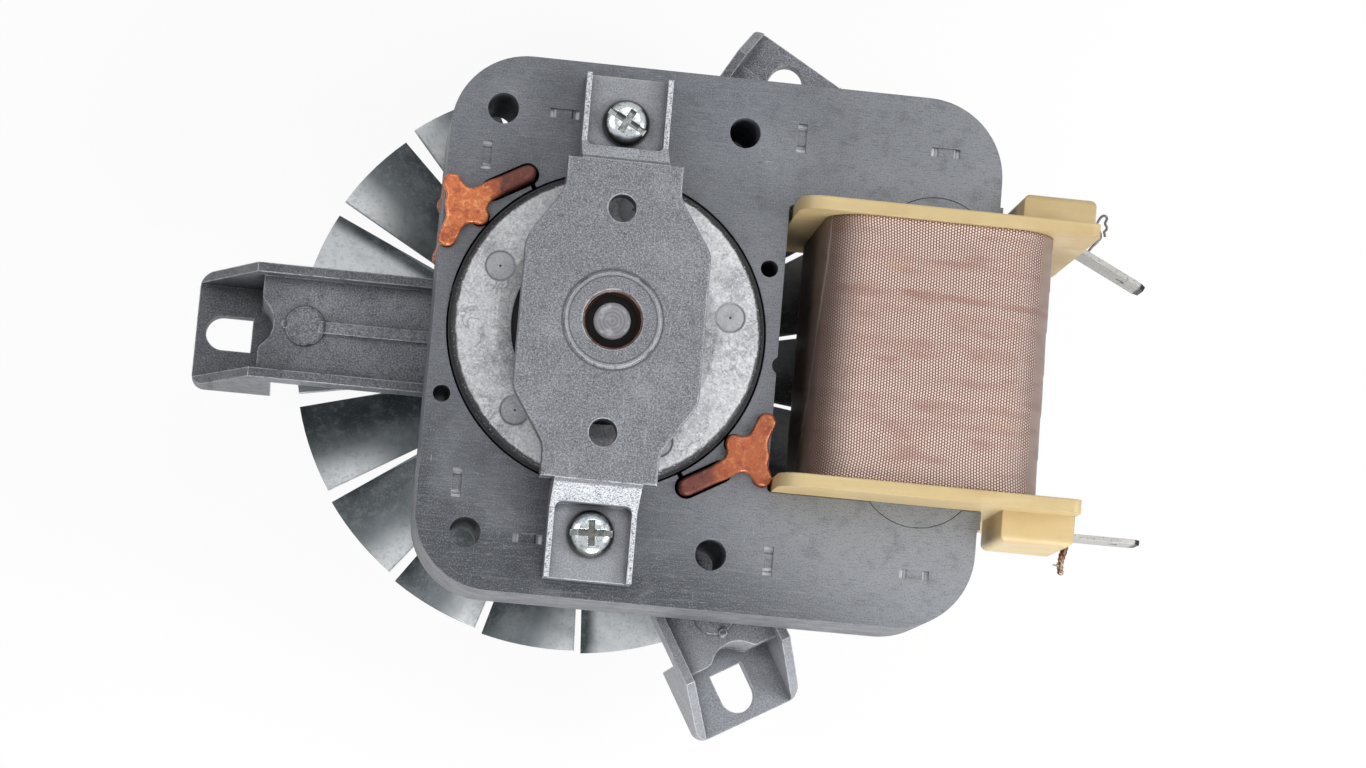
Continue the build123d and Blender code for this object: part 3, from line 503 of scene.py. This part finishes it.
def copper():
    look = copperLook
    g = Graph("shading_copper", look["round"])
    # the two rings are half a turn apart, so both are read as the left one
    side = g.math("SIGN", g.x)
    across = g.x * side * -1.0 - look["heart"][0]
    up = g.y * side * -1.0 - look["heart"][1]
    turn = math.radians(look["armTurn"])
    outward = across * math.cos(turn) + up * math.sin(turn)
    stain = g.clouds(look["stain"], 4.0, roughness=0.6)
    fine = g.clouds(look["fine"], 3.0, roughness=0.65)
    lumps = g.clouds(look["lumps"], 2.0, distortion=0.7)
    brown = g.between(outward + (stain - 0.5) * 4 * mm, look["brownFrom"], look["brownTo"])
    rim = g.edges(0.06, 0.35)
    # the star's lobes darken towards their tips
    tips = g.between(g.distance(across, up), look["tipFrom"], look["tipTo"])
    colour = g.shades(
        look["bright"], (look["tarnish"], tips * g.between(stain, 0.62, 0.42) * 0.8),
        # painted highlights: glow on the star's lumps and edges, rose on the browned arm's edges
        (look["glow"], g.between(lumps, 0.52, 0.66) * 0.7),
        (look["tarnish"], g.between(stain, 0.5, 0.34) * 0.75),
        (look["tarnish"], g.between(fine, 0.48, 0.3) * 0.4), (look["brown"], brown * 0.95),
        (look["sootAndShade"], brown * g.between(stain, 0.48, 0.66) * 0.5),
        (look["rose"], brown * g.between(lumps, 0.52, 0.66) * 0.5), (look["rose"], rim * brown * 0.8),
        (look["glow"], rim * (1.0 - brown) * 0.35),
        # the right ring is darker than the left
        (look["darkened"], g.between(g.x, -5 * mm, 5 * mm) * (1.0 - brown) * 0.5))
    rough = g.between(stain, 0.3, 0.7, 0.34, 0.24) + brown * 0.14
    return g.finish(colour, rough, look["metal"], fine * 0.6 + lumps * 2.0, look["depth"])


# Bobbin: cream moulding, a little glossy, browner near the winding
bobbinLook = {
    "cream": (200, 178, 131), "pale": (216, 197, 153), "warm": (184, 154, 104),
    "shade": (172, 144, 100), "gloss": 0.42,
    "drift": 9 * mm, "flow": (12 * mm, 1.5 * mm, 12 * mm), "skin": 0.35 * mm,
    "round": 0.4 * mm, "depth": 0.012 * mm,
    # how far along Y the browning near the winding reaches
    "plainAt": 23.4 * mm, "brownAt": 20.8 * mm,
}


def bobbinPlastic():
    look = bobbinLook
    g = Graph("bobbin_plastic", look["round"])
    drift = g.clouds(look["drift"], 3.0)
    flow = g.clouds(look["flow"], 2.0)
    skin = g.clouds(look["skin"], 2.0)
    # moulded edges get a paler line as a painted highlight, and what is near the winding is browner
    nearWinding = g.between(g.math("ABSOLUTE", g.y), look["plainAt"], look["brownAt"])
    colour = g.shades(
        look["cream"], (look["warm"], g.between(drift, 0.45, 0.75) * 0.45),
        (look["pale"], g.between(flow, 0.5, 0.75) * 0.35),
        (look["shade"], nearWinding * g.between(drift, 0.35, 0.65) * 0.4),
        (look["warm"], g.between(skin, 0.55, 0.75) * 0.2), (look["pale"], g.edges() * 0.5))
    rough = g.between(drift, 0.3, 0.7, look["gloss"] - 0.05, look["gloss"] + 0.1)
    return g.finish(colour, rough, 0.0, skin + flow, look["depth"], Subsurface_Weight=0.05,
                    Subsurface_Scale=0.002)


# Coil tape: woven glass cloth in varnish, its dots in offset columns, read along the wrap
tapeLook = {
    "ground": (134, 92, 82), "dot": (234, 218, 206), "hole": (76, 44, 38), "shadow": (80, 58, 52),
    "line": (158, 148, 142), "varnish": (138, 90, 78), "amber": (180, 134, 98),
    "bare": (168, 150, 140), "fold": (124, 100, 90),
    "columnPitch": 0.46 * mm, "rowPitch": 0.48 * mm, "round": 0.12 * mm, "depth": 0.05 * mm,
    # the columns draw together from here to here along the coil, near the flanges
    "drawn": (17 * mm, 21.5 * mm),
    # sizes round the wrap, along the coil and across it
    "sway": (16 * mm, 7 * mm, 9 * mm), "drift": (26 * mm, 14 * mm, 9 * mm),
    "stain": (9 * mm, 2.6 * mm, 9 * mm), "blotch": (5 * mm, 4 * mm, 9 * mm),
    "waver": (7 * mm, 40 * mm, 9 * mm),
    # the film's edge down the left side, bending away from the weave, and how far out painted shade
    # darkens the sides
    "seamTop": 19 * mm, "seamPlace": -20 * mm, "seamBend": 12.5,
    "duskLeft": (-12 * mm, -19 * mm), "duskRight": (10.5 * mm, 17 * mm),
    # the weave shows on the flat faces, from the middle of each out to this far on the two sides
    "weaveFrom": 16.6 * mm, "weaveTo": 17.2 * mm, "weaveLeft": 20.6 * mm,
    # creases across the wrap: place along the coil, how strong and how wide, in millimetres
    "creases": ((9.2, 0.8, 0.8), (6.4, 0.3, 1.1), (0.6, 0.4, 1.9), (-4.2, 0.25, 1.0),
                (-8.2, 0.45, 0.9), (-11.4, 0.35, 0.8), (14.6, 0.3, 1.1)),
}


def wovenTape():
    look = tapeLook
    g = Graph("woven_tape", look["round"])
    wrap = g.node("ShaderNodeAttribute", {"attribute_name": "wrap"}, None, "Vector")
    around, along, half = g.split(wrap)
    spread = g.math("ABSOLUTE", around)
    leftward = g.between(around, 1 * mm, -1 * mm) * (look["weaveLeft"] - look["weaveFrom"])
    plain = g.between(spread - leftward, look["weaveFrom"], look["weaveTo"])
    plain = plain * g.between(half - spread, look["weaveFrom"], look["weaveTo"])
    sway = g.clouds(look["sway"], 2.0, wrap) - 0.5
    nearFlange = g.between(g.math("ABSOLUTE", along), *look["drawn"])
    column = (around * (1.0 - nearFlange * 0.03) + sway * 0.5 * mm) / look["columnPitch"]
    offset = g.math("ABSOLUTE", g.math("MODULO", g.math("FLOOR", column), 2.0))
    drift = (g.clouds(look["drift"], 1.0, wrap) - 0.5) * mm
    row = (along + drift) / look["rowPitch"] + offset * 0.5
    acrossDot = g.math("FRACT", column) - 0.5
    alongDot = g.math("FRACT", row) - 0.5
    reach = g.distance(acrossDot, alongDot)
    dot = g.between(reach, 0.44, 0.26)
    hole = g.between(g.math("ABSOLUTE", acrossDot), 0.3, 0.46) * g.between(reach, 0.36, 0.56)
    stain = g.clouds(look["stain"], 4.0, wrap)
    blotch = g.clouds(look["blotch"], 3.0, wrap)
    wavering = along + (g.clouds(look["waver"], 2.0, wrap) - 0.5) * 1.3 * mm + around * 0.035
    crease = 0.0
    for place, strength, width in look["creases"]:
        crease = crease + g.line(wavering, place * mm, width * mm) * strength
    crease = g.math("MINIMUM", crease, 1.0) * g.between(g.clouds(5 * mm, 2.0, wrap), 0.3, 0.55)
    # painted shade on the wrap's left and right sides
    sideShade = g.between(around, *look["duskLeft"]) + g.between(around, *look["duskRight"]) * 0.6
    below = look["seamTop"] - along
    toSeam = around - look["seamPlace"] + below * below * look["seamBend"]
    seam = g.line(toSeam / (below * 0.03 + 0.3 * mm), 0.0, 1.0)
    woven = g.shades(look["ground"], (look["hole"], hole), (look["dot"], dot * 0.95),
                     (look["varnish"], crease * 0.6),
                     (look["varnish"], g.between(stain, 0.5, 0.7) * 0.4),
                     (look["amber"], g.between(blotch, 0.6, 0.75) * 0.35))
    film = g.shades(look["bare"], (look["fold"], g.between(stain, 0.45, 0.7) * 0.5),
                    (look["varnish"], crease * 0.5))
    colour = g.shades(g.blend(woven, film, plain), (look["shadow"], sideShade * 0.75),
                      (look["line"], seam * 0.75))
    rough = g.between(dot, 0.0, 1.0, 0.46, 0.62)
    height = dot * (1.0 - plain) - crease * 1.2
    return g.finish(colour, rough, 0.0, height, look["depth"])


# Zinc-plated screws, a trace of yellow passivation left in the recess, painted shade and glints on the
# head
screwLook = {
    "zinc": (210, 217, 220), "shade": (134, 140, 142), "yellow": (176, 170, 136),
    "pit": (52, 54, 55), "glint": (250, 252, 253), "metal": 1.0,
    "recessFrom": 0.5 * mm, "recessTo": 1.0 * mm, "blot": 0.8 * mm, "fine": 0.2 * mm,
    "round": 0.16 * mm, "depth": 0.015 * mm,
}


def screwZinc(headTop):
    look = screwLook
    g = Graph("screw_zinc", look["round"])
    sunk = g.between(headTop - g.z, look["recessFrom"], look["recessTo"])
    blot = g.clouds(look["blot"], 4.0)
    fine = g.clouds(look["fine"], 2.0)
    # painted shade darkens the head's sides and the recess's walls
    steep = g.between(g.facing(), 0.93, 0.6)
    colour = g.shades(
        look["zinc"], (look["shade"], g.between(blot, 0.48, 0.62) * 0.65),
        (look["shade"], g.between(fine, 0.55, 0.75) * 0.35), (look["pit"], steep * 0.42),
        # in the recess: yellow passivation, then painted shade; the edges outside it get painted glints
        (look["yellow"], sunk * g.between(blot, 0.4, 0.6) * 0.4), (look["pit"], sunk * 0.62),
        (look["glint"], g.edges(0.02, 0.2) * (1.0 - sunk) * 0.85))
    rough = g.between(blot, 0.3, 0.7, 0.16, 0.26)
    return g.finish(colour, rough, look["metal"], blot, look["depth"])


# Plain metals and small hidden parts: one recipe, with each one's own colours and scale
plainLooks = {
    "oiled_bronze": {"base": (14, 11, 10), "other": (6, 6, 6), "size": 0.3 * mm,
                     "rough": (0.5, 0.7), "metal": 0.0, "depth": 0.03 * mm, "specular": 0.12,
                     "rim": (84, 48, 32), "rimFrom": 4.15 * mm, "rimTo": 4.45 * mm},
    "bare_wire": {"base": (120, 118, 116), "other": (44, 38, 38), "size": 0.5 * mm,
                  "rough": (0.3, 0.45), "metal": 0.5, "depth": 0.01 * mm},
    "oiled_felt": {"base": (186, 174, 148), "other": (150, 136, 110), "size": 0.5 * mm,
                   "rough": (0.85, 0.95), "metal": 0.0, "depth": 0.12 * mm},
    "spring_steel": {"base": (128, 128, 130), "other": (98, 98, 102), "size": 1.2 * mm,
                     "rough": (0.3, 0.42), "metal": 0.8, "depth": 0.01 * mm},
    "hard_fibre": {"base": (150, 110, 78), "other": (112, 78, 54), "size": 0.6 * mm,
                   "rough": (0.55, 0.7), "metal": 0.0, "depth": 0.03 * mm},
    "magnet_wire": {"base": (176, 96, 54), "other": (128, 62, 34), "size": 0.4 * mm,
                    "rough": (0.3, 0.4), "metal": 0.5, "depth": 0.08 * mm},
    "turned_steel": {"base": (150, 151, 153), "other": (116, 117, 120), "size": 0.8 * mm,
                     "rough": (0.3, 0.42), "metal": 0.6, "depth": 0.012 * mm},
}


def plainFinish(name):
    # where there is a rim, it is the bush's own, rusty round the shaft's end
    look = plainLooks[name]
    g = Graph(name, 0.12 * mm)
    mottle = g.clouds(look["size"], 3.0)
    drift = g.clouds(look["size"] * 7, 3.0)
    colour = g.shades(look["base"], (look["other"], g.between(mottle, 0.45, 0.75) * 0.7),
                      (look["other"], g.between(drift, 0.5, 0.75) * 0.6))
    if "rim" in look:
        reach = g.radius() + (drift - 0.5) * 0.6 * mm
        colour = g.shades(colour, (look["rim"], g.between(reach, look["rimFrom"], look["rimTo"]) * 0.85))
    rough = g.between(drift, 0.3, 0.7, *look["rough"])
    return g.finish(colour, rough, look["metal"], mottle, look["depth"],
                    Specular_IOR_Level=look.get("specular", 0.5))


# Blades: tin plate, dark and bare at the sheared tips
tabLook = {
    "tin": (172, 171, 168), "pit": (112, 111, 108), "light": (204, 203, 200), "tip": (30, 31, 40),
    "tipLength": 0.9 * mm, "metal": 0.5, "pits": 0.3 * mm, "scratches": (5 * mm, 5 * mm, 0.25 * mm),
    "round": 0.14 * mm, "depth": 0.02 * mm,
    # the way each blade points, in degrees from +X
    "blades": {"terminal_upper": -26.0, "terminal_lower": 0.0},
}


def tinnedBlade(name, direction):
    look = tabLook
    g = Graph(name + "_tin", look["round"])
    farthest = max(vertex.co.dot(direction) for vertex in nodes[name].data.vertices)
    out = g.node("ShaderNodeVectorMath", {"operation": "DOT_PRODUCT"},
                 {0: g.place, 1: direction}, "Value")
    pits = g.clouds(look["pits"], 3.0)
    scratch = g.clouds(look["scratches"], 3.0)
    tip = g.between(out - farthest + pits * 0.5 * mm, -look["tipLength"], -look["tipLength"] * 0.5)
    # the edges get a painted highlight
    colour = g.shades(look["tin"], (look["pit"], g.between(pits, 0.52, 0.68) * 0.75),
                      (look["light"], g.between(scratch, 0.5, 0.68) * 0.6),
                      (look["light"], g.edges() * 0.6), (look["tip"], tip))
    rough = g.between(pits, 0.3, 0.7, 0.34, 0.5)
    return g.finish(colour, rough, look["metal"], pits + scratch, look["depth"])


# Shaft: ground along its length, turned in rings on its ends
shaftLook = {
    "steel": (144, 144, 148), "ring": (88, 88, 93), "light": (188, 188, 192), "pitch": 0.62 * mm,
    "metal": 0.4, "rough": 0.36, "grind": (6 * mm, 6 * mm, 0.12 * mm), "spots": 1.2 * mm,
    "round": 0.15 * mm, "depth": 0.012 * mm,
}


def groundShaft():
    look = shaftLook
    g = Graph("ground_shaft", look["round"])
    facing = g.facing()
    end = g.between(facing, 0.4, 0.6)
    chamfer = end * g.between(facing, 0.95, 0.85)
    rings = g.math("SINE", g.radius() / look["pitch"] * math.tau) * 0.5 + 0.5
    grind = g.clouds(look["grind"], 3.0)
    marks = grind * (1.0 - end * 0.7) + rings * end * 0.5
    # the chamfer gets a painted highlight
    colour = g.shades(look["steel"], (look["ring"], marks * 0.8),
                      (look["light"], g.between(g.clouds(look["spots"], 3.0), 0.5, 0.7) * 0.5),
                      (look["light"], chamfer * 0.9))
    return g.finish(colour, look["rough"], look["metal"], marks, look["depth"])


# Wire tails: copper strands drowned in solder, dark with flux towards the root
tailLook = {
    "solder": (168, 156, 140), "copper": (128, 72, 46), "flux": (28, 20, 20), "metal": 0.4,
    "blot": 0.5 * mm, "strands": (0.3 * mm, 1.2 * mm, 0.3 * mm),
    "rootFrom": -31.0 * mm, "rootTo": -26.5 * mm, "round": 0.05 * mm, "depth": 0.06 * mm,
}


def solderedCopper():
    look = tailLook
    g = Graph("soldered_copper", look["round"])
    blot = g.clouds(look["blot"], 4.0, roughness=0.6)
    strands = g.clouds(look["strands"], 3.0, distortion=0.8)
    root = g.between(g.y, look["rootFrom"], look["rootTo"])
    colour = g.shades(
        look["solder"], (look["copper"], g.between(blot + root * 0.2, 0.46, 0.6)),
        (look["flux"], g.between(strands + root * 0.08, 0.5, 0.62) * 0.9))
    rough = g.between(blot, 0.3, 0.7, 0.25, 0.5)
    return g.finish(colour, rough, look["metal"], blot + strands, look["depth"])


dress(laminatedSteel(), "stator_core", "coil_core", "rotor_core")
dress(castMetal("cast_bridge", bridgeMarks), "rear_bridge")
dress(castMetal("cast_bracket", bracketMarks), "front_bracket")
dress(castCage(), "rotor_cage")
dress(galvanised(), "cooling_fan")
dress(copper(), "shading_ring_left", "shading_ring_right")
dress(bobbinPlastic(), "bobbin")
dress(screwZinc(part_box("bridge_screws")[1].z), "bridge_screws")
dress(groundShaft(), "shaft")
for name, owners in {
        "oiled_bronze": ("rear_bearing", "front_bearing"),
        "oiled_felt": ("rear_felt", "front_felt"),
        "spring_steel": ("rear_bearing_clip", "front_bearing_clip"),
        "hard_fibre": ("rear_thrust_washer", "front_thrust_washer"),
        "magnet_wire": ("coil_winding",),
        "turned_steel": ("fan_hub", "front_spacer")}.items():
    dress(plainFinish(name), *owners)
for name, angle in tabLook["blades"].items():
    turn = math.radians(angle)
    dress(tinnedBlade(name, Vector((math.cos(turn), math.sin(turn), 0))), name)
print("materials made")


def placed(name, data):
    made = bpy.data.objects.new(name, data)
    bpy.context.scene.collection.objects.link(made)
    return made


def statorPiece(name, data, material, replaced):
    # a detailed piece that stays with the stator, in place of its plain solid
    piece = placed(name, data)
    data.materials.append(material)
    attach(piece, "stator")
    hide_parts(replaced)


def smoothMesh(name, corners, faces):
    mesh = bpy.data.meshes.new(name)
    mesh.from_pydata(corners, [], faces)
    mesh.validate()
    mesh.shade_smooth()
    return mesh


# Coil wrap: the tape as a closed sleeve with soft swells and the step of each turn
wrapShape = {
    "corner": 7.0 * mm, "wall": 0.55 * mm, "swell": 0.22 * mm, "swells": (60, 110, 60),   # per metre
    "turnStep": 0.1 * mm, "turnPitch": 7 * mm, "around": 176, "rows": 96, "seed": 4.0,
}


def coilWrap():
    shape = wrapShape
    low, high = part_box("coil_tape")
    centre = (low + high) / 2
    halfX, halfZ = (high.x - low.x) / 2, (high.z - low.z) / 2
    corner = shape["corner"]
    straightX, straightZ = halfX - corner, halfZ - corner
    arc = corner * math.pi / 2
    total = 4 * (straightX + straightZ) + 4 * arc
    # each stretch: its length, its start or its arc's centre, the angle it faces, and if it is an arc
    stretches = [
        (straightX, (0, halfZ), 90, False), (arc, (straightX, straightZ), 90, True),
        (2 * straightZ, (halfX, straightZ), 0, False), (arc, (straightX, -straightZ), 0, True),
        (2 * straightX, (straightX, -halfZ), -90, False), (arc, (-straightX, -straightZ), -90, True),
        (2 * straightZ, (-halfX, -straightZ), 180, False), (arc, (-straightX, straightZ), 180, True),
        (straightX, (-straightX, halfZ), 90, False),
    ]

    def section(distance, inset):
        # a place on the rounded rectangle, from the middle of its top going towards +X
        left = distance
        for length, start, facing, isArc in stretches:
            if left <= length + 1e-12:
                break
            left -= length
        angle = math.radians(facing) - (left / corner if isArc else 0)
        out = Vector((math.cos(angle), math.sin(angle)))
        if isArc:
            return Vector(start) + out * (corner - inset)
        return Vector(start) + Vector((out.y, -out.x)) * left - out * inset

    around, rows = shape["around"], shape["rows"]
    corners = []
    for layer in (0, 1):
        for row in range(rows + 1):
            y = low.y + (high.y - low.y) * row / rows
            for step in range(around):
                # the sleeve is closed in the middle of its hidden underside
                distance = total * (step / around + 0.5) % total
                x, z = section(distance, 0.0)
                spot = Vector((x, y, z)) * Vector(shape["swells"])
                sway = noise.noise(spot + Vector((0, 0, shape["seed"])))
                turn = (y / shape["turnPitch"] + distance / total) % 1.0
                inset = shape["swell"] * (0.5 - 0.5 * sway) + shape["turnStep"] * turn
                x, z = section(distance, inset if layer == 0 else shape["wall"])
                corners.append((centre.x + x, y, centre.z + z))
    faces, wraps = [], []

    def addFace(*spots):
        # each spot is a layer, a row and a step, where the last step meets the first
        faces.append(tuple((layer * (rows + 1) + row) * around + step % around
                           for layer, row, step in spots))
        for layer, row, step in spots:
            y = low.y + (high.y - low.y) * row / rows
            wraps.extend((total * (step / around - 0.5), y, total / 2))

    for step in range(around):
        for row in range(rows):
            addFace((0, row, step), (0, row, step + 1), (0, row + 1, step + 1), (0, row + 1, step))
            addFace((1, row, step), (1, row + 1, step), (1, row + 1, step + 1), (1, row, step + 1))
        addFace((0, 0, step), (1, 0, step), (1, 0, step + 1), (0, 0, step + 1))
        addFace((0, rows, step), (0, rows, step + 1), (1, rows, step + 1), (1, rows, step))
    mesh = smoothMesh("coil_wrap", corners, faces)
    mesh.attributes.new("wrap", "FLOAT_VECTOR", "CORNER").data.foreach_set("vector", wraps)
    statorPiece("coil_wrap", mesh, wovenTape(), "coil_tape")


coilWrap()
print("coil wrap made")


# Soldered tail at the lower blade: three twisted strands under a skin of solder, and one spike
tailShape = {
    "length": 6.0 * mm, "lean": 4.0, "rootRadius": 0.62 * mm, "tipRadius": 0.5 * mm,
    "strands": 3, "lobe": 0.13, "lump": 0.2, "turns": 2.6, "rings": 60, "sides": 30,
    "sway": 0.16 * mm, "nod": 0.1 * mm, "capFrom": 0.93, "seed": 11.0,
    "spikeLength": 0.9 * mm, "spikePlace": 0.74, "spikeWidth": 0.05,
}


def tailBundle():
    shape = tailShape
    low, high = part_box("winding_tail_lower")
    root = Vector((high.x - 0.7 * mm, high.y, (low.z + high.z) / 2))
    lean = math.radians(shape["lean"])
    down = Vector((-math.sin(lean), -math.cos(lean), 0))
    side = Vector((math.cos(lean), -math.sin(lean), 0))
    front = Vector((0, 0, 1))
    rings, sides = shape["rings"], shape["sides"]
    corners = []
    for ring in range(rings + 1):
        share = ring / rings
        middle = root + down * shape["length"] * share
        middle += side * shape["sway"] * math.sin(share * 7) + front * shape["nod"] * math.sin(share * 9)
        taper = shape["rootRadius"] + (shape["tipRadius"] - shape["rootRadius"]) * share
        pastCap = max(0.0, (share - shape["capFrom"]) / (1 - shape["capFrom"]))
        cap = math.sqrt(max(0.0, 1 - pastCap ** 2))
        for index in range(sides):
            angle = math.tau * index / sides
            twist = angle + shape["turns"] * math.tau * share
            lobe = shape["lobe"] * math.cos(shape["strands"] * twist)
            spot = Vector((math.cos(angle), math.sin(angle), share * 9 + shape["seed"]))
            lump = shape["lump"] * noise.noise(spot)
            reach = taper * max(0.04, cap) * (1 + lobe * (1 - 0.5 * share) + lump)
            # the spike sticks out towards the coil, near the tip
            fromSpike = (share - shape["spikePlace"]) / shape["spikeWidth"]
            toSpike = math.cos(angle - math.pi) * math.exp(-fromSpike ** 2)
            reach += shape["spikeLength"] * max(0.0, toSpike) ** 6
            corners.append(middle + side * reach * math.cos(angle) + front * reach * math.sin(angle))
    faces = []
    for ring in range(rings):
        for index in range(sides):
            after = (index + 1) % sides
            a, b = ring * sides + index, ring * sides + after
            faces.append((a, b, b + sides, a + sides))
    faces.append(tuple(range(sides))[::-1])
    faces.append(tuple(rings * sides + index for index in range(sides)))
    statorPiece("tail_bundle", smoothMesh("tail_bundle", corners, faces), solderedCopper(),
                "winding_tail_lower")


tailBundle()


# Loose loop at the upper blade: one thin wire, up, over and down in a curl
loopShape = {
    "radius": 0.22 * mm,
    # in the plane of the blade's middle: millimetres from the shaft's axis, along X and Y
    "route": [(80.2, 22.6), (80.8, 23.6), (81.4, 24.2), (81.9, 24.8), (82.3, 25.4), (82.0, 26.4),
              (81.3, 27.3), (81.6, 28.2), (82.1, 28.95), (82.7, 29.2), (83.2, 28.8), (82.9, 28.2),
              (82.7, 27.7), (83.1, 27.2), (83.1, 26.7), (82.7, 26.4), (82.8, 26.0), (82.9, 25.5)],
    # and above or below it
    "weave": [0.0, 0.1, 0.2, 0.2, 0.1, 0.0, 0.1, 0.3, 0.2, -0.1, -0.3, -0.1, 0.2, 0.3, 0.1, -0.1,
              0.2, 0.1],
}


def tailLoop():
    shape = loopShape
    low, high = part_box("terminal_upper")
    middle = (low.z + high.z) / 2
    curve = bpy.data.curves.new("tail_loop", "CURVE")
    curve.dimensions = "3D"
    curve.bevel_depth = shape["radius"]
    curve.bevel_resolution = 3
    curve.use_fill_caps = True
    curve.resolution_u = 8
    spline = curve.splines.new("NURBS")
    spline.points.add(len(shape["route"]) - 1)
    for point, (x, y), weave in zip(spline.points, shape["route"], shape["weave"]):
        point.co = (x * mm, y * mm, middle + weave * mm, 1.0)
    spline.use_endpoint_u = True
    spline.order_u = 3
    statorPiece("tail_loop", curve, plainFinish("bare_wire"), "winding_tail_upper")


tailLoop()
print("wire tails made")


# Shading rings: hammered over, so their stars are domed and their edges soft
ringShape = {"voxel": 0.22 * mm, "smoothing": 0.6, "passes": 34}


def softenRing(node):
    remesh = node.modifiers.new("weld", "REMESH")
    remesh.mode = "VOXEL"
    remesh.voxel_size = ringShape["voxel"]
    remesh.use_smooth_shade = True
    smooth = node.modifiers.new("dome", "SMOOTH")
    smooth.factor = ringShape["smoothing"]
    smooth.iterations = ringShape["passes"]


for name in ("shading_ring_left", "shading_ring_right"):
    softenRing(nodes[name])
print("shading rings softened")


# Floor, light and camera
studio = {
    "floorDrop": 0.4 * mm, "floorSize": 3.0, "floorGlow": 0.9, "worldLevel": 0.25,
    # name, place, aim, size, power in watts
    "lamps": [
        ("key", (0.32, -0.02, 0.30), (0.03, 0.0, 0.03), 0.20, 0.9),
        ("top", (0.15, 0.40, 0.70), (0.0, 0.0, 0.03), 0.50, 1.0),
        ("low", (0.08, -0.40, 0.20), (0.0, 0.0, 0.01), 0.24, 1.6),
        ("fill", (-0.34, 0.08, 0.42), (0.0, 0.0, 0.03), 0.34, 0.75),
    ],
}


def floor():
    low = cadBox[0].z - studio["floorDrop"]
    half = studio["floorSize"] / 2
    mesh = bpy.data.meshes.new("floor")
    mesh.from_pydata([(-half, -half, low), (half, -half, low), (half, half, low), (-half, half, low)],
                     [], [(0, 1, 2, 3)])
    g = Graph("floor_white")
    matt = g.node("ShaderNodeBsdfDiffuse", None, {"Color": (0.92, 0.92, 0.92, 1.0)})
    glow = g.node("ShaderNodeEmission", None, {"Color": (1.0, 1.0, 1.0, 1.0), "Strength": 1.0})
    g.show(g.node("ShaderNodeMixShader", None, {0: g.seen() * studio["floorGlow"], 1: matt, 2: glow}))
    mesh.materials.append(g.owner)
    placed("floor", mesh)


def lights():
    for name, place, aim, size, power in studio["lamps"]:
        lamp = bpy.data.lights.new(name, "AREA")
        lamp.shape = "DISK"
        lamp.size = size
        lamp.energy = power
        holder = placed(name, lamp)
        holder.location = place
        holder.rotation_euler = (Vector(aim) - Vector(place)).to_track_quat("-Z", "Y").to_euler()
    world = bpy.data.worlds.new("studio")
    bpy.context.scene.world = world
    g = Graph("studio", world=world)
    level = g.seen() * (1.0 - studio["worldLevel"]) + studio["worldLevel"]
    sky = g.node("ShaderNodeBackground", None, {"Strength": level})
    g.show(sky, "ShaderNodeOutputWorld")


# The camera stands where the photograph was taken from
cameraPlace = {
    "location": (-47.485 * mm, -100.346 * mm, 690.51 * mm),
    "turns": ((-5.3947, "Y"), (8.1807, "X"), (4.7988, "Z")),
    "lens": 105.417, "sensor": 36.0,
}


def camera():
    lens = bpy.data.cameras.new("camera")
    lens.lens = cameraPlace["lens"]
    lens.sensor_width = cameraPlace["sensor"]
    lens.clip_start = 0.01
    eye = placed("camera", lens)
    turn = Matrix.Identity(4)
    for angle, axis in cameraPlace["turns"]:
        turn = turn @ Matrix.Rotation(math.radians(angle), 4, axis)
    eye.matrix_world = Matrix.Translation(cameraPlace["location"]) @ turn
    bpy.context.scene.camera = eye


floor()
lights()
camera()
bpy.context.scene.view_settings.view_transform = "Standard"
print("stage, lights and camera placed")
